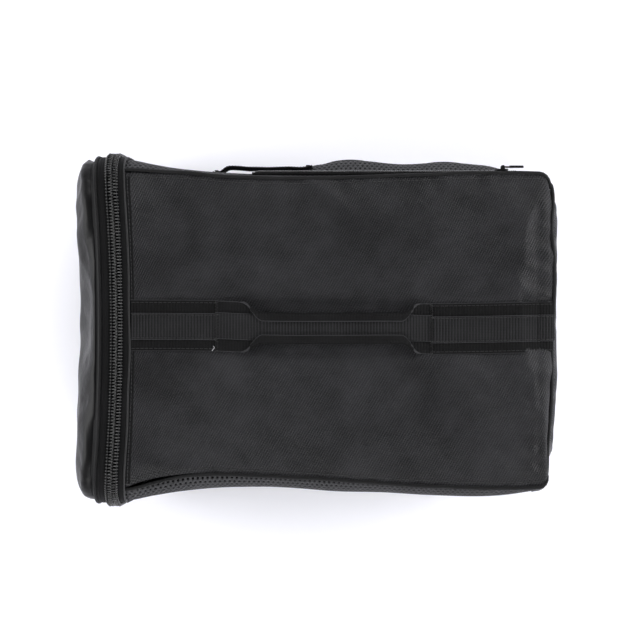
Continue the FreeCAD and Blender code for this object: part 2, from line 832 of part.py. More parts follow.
def pull_tab(pivot_y, pivot_z, lug_gap, length, width):
    """A cast tab hanging from the slider's pin, with an eye at its end."""
    thick = TAB_THICK
    eye_width = lug_gap - 2 * PLATE_AIR
    eye = Part.makeCylinder(EYE_R, eye_width, V(-eye_width / 2, pivot_y, pivot_z), V(1, 0, 0))
    neck = block(
        -eye_width / 2, eye_width / 2, pivot_y - 0.7, pivot_y + 0.5, pivot_z - 6, pivot_z
    )
    body = block(
        -width / 2,
        width / 2,
        pivot_y - thick / 2 - 0.3,
        pivot_y + thick / 2 - 0.3,
        pivot_z - length,
        pivot_z - 5,
    )
    corners = [
        e
        for e in body.Edges
        if abs(e.Vertexes[0].Point.x - e.Vertexes[1].Point.x) < 1e-6
        and abs(e.Vertexes[0].Point.z - e.Vertexes[1].Point.z) < 1e-6
    ]
    body = body.makeFillet(width * 0.3, corners)
    slot = block(
        -width * 0.16, width * 0.16, -BIG, BIG, pivot_z - length + 3, pivot_z - length + 11
    )
    bore_start = V(-eye_width / 2 - 1, pivot_y, pivot_z)
    bore = Part.makeCylinder(PIN_BORE_R, eye_width + 2, bore_start, V(1, 0, 0))
    return body.fuse(neck).fuse(eye).cut(slot).cut(bore).removeSplitter()


def main_slider():
    """Slider and tab of the main zip, at the bottom of its run on the -Y side."""
    body, pivot_y, pivot_z, lug_gap = slider_body(
        15.0, 13.4, COIL_WIDTH, COIL_HEIGHT, TAPE, CHAIN_GAP, 1.5
    )
    tab = pull_tab(pivot_y, pivot_z, lug_gap, 30.0, 8.0)
    chain_y = -(RIM_HALF_WIDTH + TAPE_LEVEL + TAPE + COIL_HEIGHT)
    place = V(MOUTH_X, chain_y, CHAIN_END_Z + 6)
    return body.translated(place), tab.translated(place)


def pocket_slider():
    """Slider and tab of the pocket's zip, closed at the end nearest the base of the bag."""
    body, pivot_y, pivot_z, lug_gap = slider_body(
        10.0, 8.6, POCKET_COIL, 1.6, 0.6, POCKET_GAP + 0.2, 1.0
    )
    wall_y = side_wall_y(POCKET_ZIP_Z) + 2.2
    travel = FreeCAD.Rotation(V(0, 1, 0), 90)
    face_out = FreeCAD.Rotation(V(1, 0, 0), 180)
    origin = V(POCKET_SLIDER_X, wall_y, POCKET_ZIP_Z)
    place = FreeCAD.Placement(origin, travel.multiply(face_out))
    body = body.copy()
    body.Placement = place
    tab = pull_tab(pivot_y, pivot_z, lug_gap, 16.0, 5.0)
    tab.Placement = place
    return body, tab


# ---- Assembly -----------------------------------------------------------------------------------
def build():
    """Every sub-part by the name of its node."""
    parts = {}
    parts["edge_piping"] = edge_cords()
    parts["end_piping"] = end_cord()
    parts.update(skins())
    pocket = pocket_parts()
    parts.update(pocket)
    parts.update(padding(pocket["pocket_bag"]))
    parts["chamber_liner"] = chamber_liner()

    parts["mouth_binding"] = mouth_binding()
    parts["mouth_facing"] = mouth_facing()
    parts["front_sill"] = front_sill()
    parts["lid_hinge_strip"] = lid_hinge_strip()
    parts.update(body_zip())
    parts["zip_end_tabs"] = zip_end_tabs()
    parts.update(lid_parts())
    parts.update(flap_parts())

    wide, narrow = straps()
    parts["wide_webbing"] = Part.makeCompound(wide)
    parts["narrow_webbing"] = Part.makeCompound(narrow)
    parts["handle_bar_tacks"] = bar_tacks()
    parts.update(handle_parts())

    parts.update(sleeve_parts())
    parts["side_loop"] = side_loop()
    parts["side_loop_tacks"] = loop_tacks()
    parts["main_slider"], parts["main_pull_tab"] = main_slider()
    parts["pocket_slider"], parts["pocket_pull_tab"] = pocket_slider()
    return parts


def main():
    os.makedirs(OUT, exist_ok=True)
    for name, shape in sorted(build().items()):
        solid = main_solids(shape, 0.5)
        volumes = [round(s.Volume, 1) for s in solid.Solids]
        print(f"{name:22s} valid={solid.isValid()} solids={len(volumes)} volumes={volumes[:4]}")
        solid.exportStep(f"{OUT}/{name}.step")


main()
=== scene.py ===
import math
import random

import bmesh
import bpy
import numpy as np
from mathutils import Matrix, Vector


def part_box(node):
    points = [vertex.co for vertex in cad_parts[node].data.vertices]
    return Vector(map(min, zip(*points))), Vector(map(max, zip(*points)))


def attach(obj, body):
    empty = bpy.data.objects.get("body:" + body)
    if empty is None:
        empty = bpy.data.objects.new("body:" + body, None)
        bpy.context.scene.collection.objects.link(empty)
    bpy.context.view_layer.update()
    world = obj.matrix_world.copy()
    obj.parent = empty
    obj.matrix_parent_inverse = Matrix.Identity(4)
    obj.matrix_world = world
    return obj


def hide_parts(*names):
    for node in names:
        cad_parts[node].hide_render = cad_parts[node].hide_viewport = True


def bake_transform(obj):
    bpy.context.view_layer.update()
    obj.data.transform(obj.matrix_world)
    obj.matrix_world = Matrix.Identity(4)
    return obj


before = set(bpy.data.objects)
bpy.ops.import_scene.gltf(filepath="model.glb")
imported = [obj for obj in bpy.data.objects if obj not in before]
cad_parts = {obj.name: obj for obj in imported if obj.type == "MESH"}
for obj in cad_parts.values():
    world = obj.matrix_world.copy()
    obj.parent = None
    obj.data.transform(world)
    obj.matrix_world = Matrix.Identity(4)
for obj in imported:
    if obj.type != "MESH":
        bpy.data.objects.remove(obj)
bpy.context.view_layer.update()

# The looks of a box-shaped film changing bag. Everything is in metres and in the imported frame:
# X runs from the zipped lid to the closed end, +Y is the side with the arm sleeves, +Z is up.

MM = 0.001

ROOT = "bag_body"
LID = "lid"
HANDLE = "carry_handle"

# ---- Sizes read from the frame ------------------------------------------------------------------
TOP_LOW, TOP_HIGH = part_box("top_panel")
GRIP_LOW, GRIP_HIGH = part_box("handle_grip")
COIL_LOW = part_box("body_zip_coil")[0]
LID_COIL_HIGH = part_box("lid_zip_coil")[1]
GUSSET_LOW, GUSSET_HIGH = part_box("lid_gusset")
BASE_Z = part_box("base_panel")[0][2]

HALF_WIDTH = TOP_HIGH[1]
CROWN = 4 * MM
CROWN_SINK = 1.6 * MM
CROWN_RISE = 5.2 * MM
EDGE_Z = TOP_HIGH[2] - CROWN
RING_LOW, RING_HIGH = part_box("end_piping")
RING_R = 2.2 * MM
RING_X = (RING_LOW[0] + RING_HIGH[0]) / 2
RING_HALF = RING_HIGH[1] - RING_R
RING_Z = (RING_LOW[2] + RING_R, RING_HIGH[2] - RING_R)
RING_CORNER = 10.5 * MM
RING_DIAGONAL = 0.7071 * RING_CORNER
END_X = TOP_LOW[0] + 325 * MM
END_ROUND = 10 * MM
MOUTH_X = (COIL_LOW[0] + LID_COIL_HIGH[0]) / 2

# The rim's reference line is the outer face of the lid's gusset, which both zip tapes lie on.
RIM_HALF = GUSSET_HIGH[1]
RIM_TOP = GUSSET_HIGH[2]
RIM_CORNER = 35.4 * MM
RIM_INNER = RIM_CORNER - 1.0 * MM
RIM_LOW_CORNER = 12 * MM
CHAIN_END_Z = COIL_LOW[2]

WIDE = 38 * MM
NARROW = 20 * MM
WIDE_THICK = 1.6 * MM
NARROW_THICK = 1.4 * MM
TACK_FRONT_X = GRIP_LOW[0] - 34 * MM
TACK_REAR_X = GRIP_HIGH[0] + 22 * MM
RIB_PITCH = 2.3 * MM
RIB_HEIGHT = 0.16 * MM
PANEL_THICK = 1.2 * MM
TRIM_THICK = 0.9 * MM
SOFT_THICK = 0.8 * MM
HINGE_THICK = 0.6 * MM
LOOP_THICK = 1.5 * MM

# Radii of the cords and pipings.
TOP_CORD = 1.35 * MM
FOOT_CORD = 2.2 * MM
END_CORD = 1.6 * MM
LID_CORD = 1.3 * MM
MOUTH_CORD = 0.85 * MM
FLAP_CORD = 0.95 * MM
COLLAR_CORD = 1.5 * MM


# ---- Small numeric helpers ----------------------------------------------------------------------
def smooth_step(value, low, high):
    """0 below low, 1 above high, and an S-shaped ramp between."""
    t = np.clip((value - low) / (high - low), 0.0, 1.0)
    return t * t * (3 - 2 * t)


def through(points, value):
    """A smooth curve through a few (position, value) points in millimetres, at value in metres."""
    xs = np.array([p[0] for p in points], float)
    ys = np.array([p[1] for p in points], float)
    x = np.clip(np.asarray(value, float) / MM, xs[0], xs[-1])
    slopes = np.gradient(ys, xs)
    i = np.clip(np.searchsorted(xs, x) - 1, 0, len(xs) - 2)
    step = xs[i + 1] - xs[i]
    t = (x - xs[i]) / step
    h00 = 2 * t**3 - 3 * t**2 + 1
    h10 = t**3 - 2 * t**2 + t
    h01 = -2 * t**3 + 3 * t**2
    h11 = t**3 - t**2
    value = h00 * ys[i] + h10 * step * slopes[i] + h01 * ys[i + 1] + h11 * step * slopes[i + 1]
    return value * MM


WAVES = 9
SWELL_PEAK = 1.6


def swell(a, b, wavelength, seed):
    """A smooth random field from -1 to 1 over two coordinates, made of plane waves."""
    draw = random.Random(seed)
    total = np.zeros_like(np.asarray(a, float) + np.asarray(b, float))
    for _ in range(WAVES):
        angle = draw.uniform(0, math.tau)
        length = wavelength * draw.uniform(0.6, 1.7)
        phase = draw.uniform(0, math.tau)
        along = a * math.cos(angle) + b * math.sin(angle)
        total += np.sin(math.tau * along / length + phase)
    return total / math.sqrt(WAVES) / SWELL_PEAK


def lengths_along(path):
    """The distance along a path to each of its points."""
    return np.cumsum(np.linalg.norm(np.diff(path, axis=0, prepend=path[:1]), axis=1))


def grid(a, b):
    """Two arrays that hold every pair of places, one from a and one from b."""
    return np.meshgrid(a, b, indexing="ij")


def spaced(low, high, step):
    """Even positions from low to high, about a step apart."""
    return np.linspace(low, high, max(2, int(round((high - low) / step)) + 1))


def fold(x, y, start, end, width, height):
    """One soft fold: a ridge of the given height along a line, fading out at both its ends."""
    ax, ay = start[0] * MM, start[1] * MM
    bx, by = end[0] * MM, end[1] * MM
    length = math.hypot(bx - ax, by - ay)
    ux, uy = (bx - ax) / length, (by - ay) / length
    along = ((x - ax) * ux + (y - ay) * uy) / length
    across = (-(x - ax) * uy + (y - ay) * ux) / (width * MM)
    fade = smooth_step(along, -0.15, 0.3) * (1 - smooth_step(along, 0.7, 1.15))
    return height * MM * np.exp(-across * across) * fade


# ---- Mesh helpers -------------------------------------------------------------------------------
def add_mesh(name, verts, faces, uvs=None, smooth=True):
    """A linked mesh object. uvs holds one (u, v) pair per vertex, in metres of cloth."""
    mesh = bpy.data.meshes.new(name)
    mesh.from_pydata([tuple(v) for v in verts], [], [tuple(f) for f in faces])
    if uvs is not None:
        layer = mesh.uv_layers.new(name="cloth")
        loops = np.zeros(len(mesh.loops), np.int32)
        mesh.loops.foreach_get("vertex_index", loops)
        layer.data.foreach_set("uv", np.asarray(uvs, np.float32)[loops].ravel())
    mesh.validate()
    mesh.update()
    if smooth:
        mesh.polygons.foreach_set("use_smooth", [True] * len(mesh.polygons))
    obj = bpy.data.objects.new(name, mesh)
    bpy.context.scene.collection.objects.link(obj)
    return obj


def finish_piece(obj, material, body=ROOT, replaced=()):
    """Gives a piece its material and lets it ride on its body. Fabric that bends between two bodies
    rides on neither, so its body is None."""
    obj.data.materials.clear()
    obj.data.materials.append(material)
    if replaced:
        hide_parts(*replaced)
    if body:
        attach(obj, body)


def grid_faces(rows, columns, start=0, wrap=False):
    """Quads over a grid of vertices; wrap joins the last row to the first."""
    faces = []
    for i in range(rows if wrap else rows - 1):
        k = (i + 1) % rows
        for j in range(columns - 1):
            a, b = start + i * columns + j, start + i * columns + j + 1
            c, d = start + k * columns + j + 1, start + k * columns + j
            faces.append((a, d, c, b))
    return faces


def grid_normals(points, wrap=False):
    """Unit normals of a grid of points, shape (rows, columns, 3)."""
    if wrap:
        du = np.roll(points, -1, 0) - np.roll(points, 1, 0)
    else:
        du = np.gradient(points, axis=0)
    dv = np.gradient(points, axis=1)
    normal = np.cross(du, dv)
    size = np.linalg.norm(normal, axis=2, keepdims=True)
    return normal / np.maximum(size, 1e-12)


def shell(name, points, uv, thickness, wrap=False, flip=False):
    """A closed sheet: the given grid is its outer face and the inner one lies thickness below."""
    rows, columns = points.shape[:2]
    normals = grid_normals(points, wrap) * (-1 if flip else 1)
    inner = points - normals * thickness
    verts = np.concatenate([points.reshape(-1, 3), inner.reshape(-1, 3)])
    uvs = np.concatenate([uv.reshape(-1, 2)] * 2)
    count = rows * columns
    outer_faces = grid_faces(rows, columns, 0, wrap)
    inner_faces = [tuple(reversed(f)) for f in grid_faces(rows, columns, count, wrap)]
    rim = []
    for i in range(rows if wrap else rows - 1):
        a, b = i * columns, (i + 1) % rows * columns
        rim += [(b, a), (a + columns - 1, b + columns - 1)]
    if not wrap:
        last = (rows - 1) * columns
        for j in range(columns - 1):
            rim += [(j, j + 1), (last + j + 1, last + j)]
    faces = outer_faces + inner_faces + [(a, b, b + count, a + count) for a, b in rim]
    if flip:
        faces = [tuple(reversed(f)) for f in faces]
    return add_mesh(name, verts, faces, uvs)


def frames_along(path, closed=False):
    """Two unit vectors across each point of a path, turning as little as they can."""
    path = np.asarray(path, float)
    if closed:
        tangent = np.roll(path, -1, 0) - np.roll(path, 1, 0)
    else:
        tangent = np.gradient(path, axis=0)
    tangent /= np.linalg.norm(tangent, axis=1, keepdims=True)
    first = np.cross(tangent[0], [0.3, 0.2, 0.93])
    if np.linalg.norm(first) < 0.2:
        first = np.cross(tangent[0], [1.0, 0.1, 0.0])
    side = [first / np.linalg.norm(first)]
    for t in tangent[1:]:
        turned = side[-1] - t * np.dot(side[-1], t)
        side.append(turned / np.linalg.norm(turned))
    side = np.array(side)
    return side, np.cross(tangent, side)


TIP_REACH = 0.6
TIP_SIZE = 0.45


def ring_faces(count, around, closed):
    """Quads between matching rings of points, with the two end rings filled unless closed."""
    faces = []
    for i in range(count if closed else count - 1):
        k = (i + 1) % count
        for j in range(around):
            m = (j + 1) % around
            faces.append((i * around + j, i * around + m, k * around + m, k * around + j))
    if not closed:
        faces.append(tuple(reversed(range(around))))
        faces.append(tuple(range((count - 1) * around, count * around)))
    return faces


def tube_parts(path, radius, sides=8, closed=False):
    """Vertices, faces and cloth coordinates of a round tube along a path, with rounded ends."""
    path = np.asarray(path, float)
    radius = np.broadcast_to(np.asarray(radius, float), (len(path),)).copy()
    if not closed:
        ends = []
        for at, near in ((0, 1), (-1, -2)):
            out = path[at] - path[near]
            ends.append(path[at] + out / np.linalg.norm(out) * radius[at] * TIP_REACH)
        path = np.concatenate([ends[:1], path, ends[1:]])
        radius = np.concatenate([[radius[0] * TIP_SIZE], radius, [radius[-1] * TIP_SIZE]])
    side, up = frames_along(path, closed)
    angle = np.linspace(0, math.tau, sides, endpoint=False)
    ring = (
        side[:, None, :] * np.cos(angle)[None, :, None]
        + up[:, None, :] * np.sin(angle)[None, :, None]
    )
    verts = (path[:, None, :] + ring * radius[:, None, None]).reshape(-1, 3)
    along = np.repeat(lengths_along(path), sides)
    uv = np.stack([along, np.tile(angle, len(path)) * float(np.mean(radius))], 1)
    return verts, ring_faces(len(path), sides, closed), uv


def join_parts(name, parts):
    """One object from many (verts, faces, uv) parts."""
    verts, faces, uvs = [], [], []
    offset = 0
    for v, f, uv in parts:
        verts.append(v)
        uvs.append(uv)
        faces.extend(tuple(i + offset for i in face) for face in f)
        offset += len(v)
    obj = add_mesh(name, np.concatenate(verts), faces, np.concatenate(uvs))
    face_outward(obj)
    return obj


def face_outward(obj):
    """Turns every face of a closed mesh outward."""
    edit = bmesh.new()
    edit.from_mesh(obj.data)
    bmesh.ops.recalc_face_normals(edit, faces=edit.faces)
    edit.to_mesh(obj.data)
    edit.free()


def strip_points(line, y):
    """A grid of points: the line, which lies in X and Z, repeated at each place y."""
    points = line[:, None, :] + np.zeros((1, len(y), 3))
    points[:, :, 1] = y[None, :]
    return points


def sweep_parts(rings, closed=False):
    """A solid from matching closed outlines along a path, its end outlines filled unless closed."""
    rings = np.asarray(rings, float)
    uv = np.stack(grid(lengths_along(rings.mean(1)), lengths_along(rings[0])), -1)
    return rings.reshape(-1, 3), ring_faces(*rings.shape[:2], closed), uv.reshape(-1, 2)


def tube(name, path, radius, sides=8, closed=False):
    """A round tube along a path as an object."""
    return join_parts(name, [tube_parts(path, radius, sides, closed)])


def resample(path, step=None, count=None):
    """The path cut into even steps of about the given size, or into a count of points."""
    path = np.asarray(path, float)
    along = lengths_along(path)
    count = count or max(2, int(round(along[-1] / step)) + 1)
    at = np.linspace(0, along[-1], count)
    return np.stack([np.interp(at, along, path[:, k]) for k in range(3)], 1)


def stitches(name, rows, pitch=3.2 * MM, length=2.3 * MM, radius=0.28 * MM):
    """Rows of separate straight stitches along the given lines."""
    parts = []
    for path in rows:
        line = resample(path, pitch)
        for a, b in zip(line[:-1], line[1:]):
            size = np.linalg.norm(b - a)
            if size < 1e-6:
                continue
            along = (b - a) / size
            middle = (a + b) / 2
            half = along * length / 2
            parts.append(tube_parts([middle - half, middle, middle + half], radius, 6))
    return join_parts(name, parts)


# ---- Materials ----------------------------------------------------------------------------------
RAMP_SOCKETS = ("From Min", "From Max", "To Min", "To Max")


class Nodes:
    """A small helper that adds and links shader nodes."""

    def __init__(self, name):
        self.material = bpy.data.materials.new(name)
        self.material.use_nodes = True
        self.tree = self.material.node_tree
        self.tree.nodes.clear()
        self.out = self.tree.nodes.new("ShaderNodeOutputMaterial")
        self.bsdf = self.tree.nodes.new("ShaderNodeBsdfPrincipled")
        self.tree.links.new(self.bsdf.outputs["BSDF"], self.out.inputs["Surface"])

    def add(self, kind, **settings):
        node = self.tree.nodes.new(kind)
        for key, value in settings.items():
            setattr(node, key, value)
        return node

    def link(self, source, target):
        self.tree.links.new(source, target)

    def put(self, target, value):
        """Links a value that comes from a node, or else sets it on the socket itself."""
        if isinstance(value, bpy.types.NodeSocket):
            self.link(value, target)
        else:
            target.default_value = value

    def surface(self, **values):
        """Links or sets the shader's sockets, each named with _ in place of a space."""
        for name, value in values.items():
            self.put(self.bsdf.inputs[name.replace("_", " ")], value)

    def math(self, operation, a, b=0.0):
        node = self.add("ShaderNodeMath", operation=operation)
        for i, value in enumerate((a, b)):
            self.put(node.inputs[i], value)
        return node.outputs[0]

    def plus(self, a, b):
        return self.math("ADD", a, b)

    def times(self, a, b):
        return self.math("MULTIPLY", a, b)

    def cloth(self, source="UV"):
        """Texture coordinates: metres along the cloth for UV, the place in metres for Object."""
        return self.add("ShaderNodeTexCoord").outputs[source]

    def turned(self, vector, angle, scale):
        """The vector turned about Z by an angle in degrees, then scaled."""
        node = self.add("ShaderNodeMapping", vector_type="POINT")
        self.link(vector, node.inputs["Vector"])
        node.inputs["Rotation"].default_value = (0, 0, math.radians(angle))
        node.inputs["Scale"].default_value = scale if hasattr(scale, "__len__") else (scale,) * 3
        return node.outputs[0]

    def split(self, vector):
        node = self.add("ShaderNodeSeparateXYZ")
        self.link(vector, node.inputs[0])
        return node.outputs

    def noise(self, vector, scale, detail=3.0, roughness=0.55):
        node = self.add("ShaderNodeTexNoise")
        self.link(vector, node.inputs["Vector"])
        node.inputs["Scale"].default_value = scale
        node.inputs["Detail"].default_value = detail
        node.inputs["Roughness"].default_value = roughness
        return node.outputs["Fac"]

    def ramp(self, value, low, high, to_low=0.0, to_high=1.0):
        node = self.add("ShaderNodeMapRange")
        self.link(value, node.inputs["Value"])
        for name, number in zip(RAMP_SOCKETS, (low, high, to_low, to_high)):
            node.inputs[name].default_value = number
        return node.outputs["Result"]

    def mix(self, factor, first, second):
        node = self.add("ShaderNodeMix", data_type="RGBA")
        self.put(node.inputs["Factor"], factor)
        for socket, value in ((node.inputs[6], first), (node.inputs[7], second)):
            self.put(socket, (*value, 1.0) if isinstance(value, tuple) else value)
        return node.outputs[2]

    def bump(self, height, strength, distance, normal=None):
        node = self.add("ShaderNodeBump")
        self.link(height, node.inputs["Height"])
        node.inputs["Strength"].default_value = strength
        node.inputs["Distance"].default_value = distance
        if normal is not None:
            self.link(normal, node.inputs["Normal"])
        return node.outputs["Normal"]

    def sine_lattice(self, vector, twill=0.0):
        """Raised threads over a vector already scaled to one turn per thread pair: a product of
        two sines, and for a twill also the first sine alone, which gives its diagonal lines."""
        x, y, _ = self.split(vector)
        line = self.math("SINE", self.times(x, math.tau))
        cross = self.math("SINE", self.times(y, math.tau))
        plain = self.times(line, cross)
        if not twill:
            return plain
        return self.plus(self.times(plain, 1 - twill), self.times(line, twill))


def grey(value, tint=0.07):
    """A near-neutral colour; tint above 0 is a little bluer."""
    return (value, value, value * (1 + tint))


def woven(name, dark, light, pitch, angle=0.0, rough=(0.6, 0.78), sheen=0.02, relief=0.35,
          coords="UV", specular=0.14, wrinkle=0.0, fuzz=0.25, twill=0.0):
    """Woven cloth: a lattice of raised threads, uneven yarn colour, fuzz and faint creases."""
    n = Nodes(name)
    cloth = n.cloth(coords)
    place = n.cloth("Object")
    weave = n.sine_lattice(n.turned(cloth, angle, 1.0 / pitch), twill)
    fibre = n.noise(place, 2600.0, 2.0)
    patch = n.noise(place, 28.0, 4.0)
    streak = n.noise(n.turned(cloth, angle, (60.0, 900.0, 60.0)), 1.0, 2.0)
    height = n.plus(n.times(weave, 0.5), n.times(fibre, fuzz))
    shade = n.plus(n.ramp(weave, -0.6, 0.8, 0.0, 0.8), n.ramp(streak, 0.3, 0.7, 0.0, 0.15))
    shade = n.plus(shade, n.ramp(patch, 0.35, 0.7, -0.12, 0.22))
    shade = n.plus(shade, n.ramp(fibre, 0.62, 0.8, 0.0, fuzz))
    normal = n.bump(height, relief, pitch * 0.35)
    if wrinkle:
        crease = n.noise(place, 75.0, 3.0, 0.6)
        normal = n.bump(crease, wrinkle, 0.004, normal)
    n.surface(Base_Color=n.mix(n.ramp(shade, 0.0, 1.0), dark, light),
              Roughness=n.ramp(patch, 0.3, 0.75, *rough),
              Specular_IOR_Level=specular, Sheen_Weight=sheen, Sheen_Roughness=0.4, Normal=normal)
    return n.material


def ribbed_webbing(name, dark, light, edge=1.0, ribs=0.25):
    """Webbing: fine herringbone yarn between its cross ribs, worn lighter here and there, with
    painted shade on the ribs and a painted highlight where it is edge or more from its middle."""
    n = Nodes(name)
    cloth = n.cloth()
    place = n.cloth("Object")
    x, y, _ = n.split(cloth)
    zigzag = n.math("FRACT", n.times(y, 210.0))
    lean = n.math("ABSOLUTE", n.math("SUBTRACT", zigzag, 0.5))
    yarn = n.times(n.plus(n.times(x, 910.0), lean), math.tau)
    yarn = n.math("SINE", yarn)
    column = n.math("SINE", n.times(y, math.tau * 840.0))
    fibre = n.noise(place, 3200.0, 2.0)
    patch = n.noise(place, 45.0, 4.0)
    height = n.plus(n.times(yarn, 0.4), n.times(column, 0.3))
    height = n.plus(height, n.times(fibre, 0.5))
    rib = n.math("SINE", n.times(x, math.tau / RIB_PITCH))
    shade = n.plus(n.ramp(height, -0.5, 1.0, 0.0, 0.6), n.ramp(patch, 0.4, 0.75, -0.1, 0.25))
    # The ribs' crests are coloured lighter and their grooves darker, by ribs: painted shade on the
    # cross ribs.
    shade = n.plus(shade, n.ramp(rib, -0.8, 0.9, -0.4 * ribs, ribs))
    # Where it is edge or more from its middle the colour turns pale: a painted highlight along the
    # webbing's edges.
    edge_highlight = n.ramp(n.math("ABSOLUTE", y), edge, edge + 0.5 * MM, 0.0, 3.0)
    worn = n.mix(n.ramp(shade, 0.0, 1.0), dark, light)
    pale = tuple(3.2 * c for c in light)
    n.surface(Base_Color=n.mix(n.math("MINIMUM", edge_highlight, 1.0), worn, pale),
              Roughness=n.ramp(patch, 0.3, 0.7, 0.55, 0.72),
              Specular_IOR_Level=0.09, Sheen_Weight=0.0, Normal=n.bump(height, 0.45, 0.0004))
    return n.material


def smooth_stuff(name, dark, light, rough, specular=0.5, grain=900.0, relief=0.2, depth=0.0002,
                 coat=0.0):
    """Plastic, enamel, foam or coated cloth: fine grain, uneven colour and gloss, worn patches."""
    n = Nodes(name)
    place = n.cloth("Object")
    fine = n.noise(place, grain, 4.0)
    patch = n.noise(place, 60.0, 5.0, 0.6)
    shade = n.plus(n.ramp(patch, 0.35, 0.75), n.ramp(fine, 0.3, 0.8, -0.2, 0.3))
    n.surface(Base_Color=n.mix(n.ramp(shade, 0.0, 1.2), dark, light),
              Roughness=n.ramp(patch, 0.25, 0.75, *rough),
              Specular_IOR_Level=specular, Coat_Weight=coat, Normal=n.bump(fine, relief, depth))
    return n.material


def make_materials():
    """Every finish on the bag, by name."""
    m = {}
    m["nylon"] = woven("ballistic_nylon", grey(0.001), grey(0.031, 0.12), 1.9 * MM, 30.0,
                       rough=(0.38, 0.52), relief=0.6, wrinkle=0.3, sheen=0.0, specular=0.19,
                       fuzz=0.05, twill=0.5)
    m["coated"] = woven("coated_fabric", grey(0.004), grey(0.011), 0.9 * MM, 45.0,
                        rough=(0.34, 0.48), relief=0.12, wrinkle=0.2, fuzz=0.12, specular=0.13)
    m["coated_dark"] = woven("gusset_fabric", grey(0.006), grey(0.016), 0.9 * MM, 45.0,
                             rough=(0.5, 0.66), relief=0.2, wrinkle=0.25, fuzz=0.15, specular=0.1)
    m["sleeve"] = woven("sleeve_fabric", grey(0.008), grey(0.024), 0.8 * MM, 45.0,
                        rough=(0.42, 0.58), relief=0.16, wrinkle=0.3, fuzz=0.15, specular=0.25)
    m["mesh"] = woven("spacer_mesh", grey(0.022), grey(0.072), 0.7 * MM, 45.0,
                      rough=(0.65, 0.8), relief=0.4, sheen=0.03, fuzz=0.4)
    # Near black: the mesh's dark back layer at the floors of its pits, darkened further as painted
    # shade in the holes.
    m["mesh_core"] = smooth_stuff("spacer_mesh_core", grey(0.002), grey(0.005), (0.85, 0.95), 0.1)
    m["webbing"] = ribbed_webbing("webbing_wide", grey(0.0025), grey(0.009), 18.8 * MM, 0.15)
    m["webbing_grip"] = ribbed_webbing("webbing_grip", grey(0.003), grey(0.012), 18.6 * MM, 0.15)
    m["webbing_narrow"] = ribbed_webbing("webbing_narrow", grey(0.006), grey(0.024), 9.7 * MM, 0.5)
    m["tape"] = woven("zip_tape", grey(0.003), grey(0.011), 1.0 * MM, 30.0,
                      rough=(0.6, 0.75), relief=0.3, specular=0.06)
    m["coil"] = smooth_stuff("zip_coil", grey(0.002), grey(0.006), (0.16, 0.26), 0.75, 1800.0, 0.05)
    m["enamel"] = smooth_stuff("slider_enamel", grey(0.005), grey(0.016), (0.3, 0.46), 0.3,
                               2400.0, 0.15, 0.0001, coat=0.1)
    m["liner"] = woven("blackout_liner", grey(0.006), grey(0.018), 0.8 * MM, 45.0,
                       rough=(0.55, 0.75), relief=0.2, wrinkle=0.4, coords="Object")
    m["liner_uv"] = woven("blackout_cloth", grey(0.006), grey(0.018), 0.8 * MM, 45.0,
                          rough=(0.55, 0.75), relief=0.2, wrinkle=0.4)
    m["piping"] = woven("piping", grey(0.004), grey(0.014), 0.9 * MM, 40.0,
                        rough=(0.5, 0.66), relief=0.3)
    m["thread"] = smooth_stuff("thread", grey(0.012), grey(0.030), (0.5, 0.65), 0.4, 4000.0, 0.4)
    m["thread_dark"] = smooth_stuff("thread_dark", grey(0.008), grey(0.02), (0.5, 0.65), 0.4,
                                    4000.0, 0.4)
    m["thread_end"] = smooth_stuff("thread_end", grey(0.35), grey(0.55), (0.5, 0.65), 0.4, 4000.0)
    m["touch"] = smooth_stuff("touch_tape", grey(0.005), grey(0.016), (0.8, 0.95), 0.2, 1400.0, 1.0,
                              0.0012)
    m["board"] = smooth_stuff("board", grey(0.02), grey(0.04), (0.5, 0.7), 0.4)
    return m


# ---- The bag's outline --------------------------------------------------------------------------
# Each line is (x, y) in millimetres: where the top panel's two long seams run, and how far the two
# padded side walls stand out below them. The walls flare out to the rim at the mouth.
NEAR_SEAM = [(-145, -120.5), (-136, -116.5), (-109, -110.5), (-87, -109.3), (-51, -110.6),
             (9, -113.8), (52, -116.8), (103, -119.6), (140, -120.3), (168, -119.4)]
FAR_SEAM = [(-145, 121.0), (-136, 120.6), (-90, 118.4), (-69, 116.6), (-32, 115.4), (-13, 115.4),
            (68, 117.6), (123, 119.4), (168, 119.2)]
NEAR_WALL = [(-145, -130.5), (-134, -126.5), (-119, -124.2), (-89, -121.8), (-43, -120.2),
             (-13, -121.6), (17, -123.4), (47, -124.6), (93, -126.6), (123, -126.8), (153, -125.0),
             (168, -122.5)]
FAR_WALL = [(-145, 130.0), (-134, 127.0), (-119, 124.4), (-89, 121.4), (-60, 120.2), (-30, 119.6),
            (168, 119.6)]
PANEL_START = -144.6 * MM
WRAP_X = END_X - END_ROUND
WRAP_LENGTH = END_ROUND * math.pi / 2
STRAP_DRIFT = [(-150, 3.6), (-80, 3.2), (0, 1.6), (90, 0.8), (180, 2.4)]


def rim_height(y):
    """The height of the rim's inner edge over a point y on the top."""
    over = np.clip(np.abs(y) - (RIM_HALF - RIM_CORNER), 0, RIM_INNER)
    return RIM_TOP - RIM_CORNER + np.sqrt(RIM_INNER**2 - over**2)


def rim_reach(z):
    """How far out the rim's inner edge stands at a height z."""
    over = np.clip(z - (RIM_TOP - RIM_CORNER), 0, RIM_INNER)
    return RIM_HALF - RIM_CORNER + np.sqrt(RIM_INNER**2 - over**2)


BOW = 2.6 * MM
BOW_HALF = 123 * MM


def bow(y, z):
    """How far the mouth's plane leans: the padded bag bulges forward at the middle of its top."""
    middle = BOW - 2 * BOW * np.minimum(np.abs(y) / BOW_HALF, 1.0) ** 2
    return middle * smooth_step(z, 0.140, 0.190)


def flare(x, length):
    """1 at the mouth, falling off along the bag."""
    return np.exp(-np.clip(x - PANEL_START, 0, 1) / length)


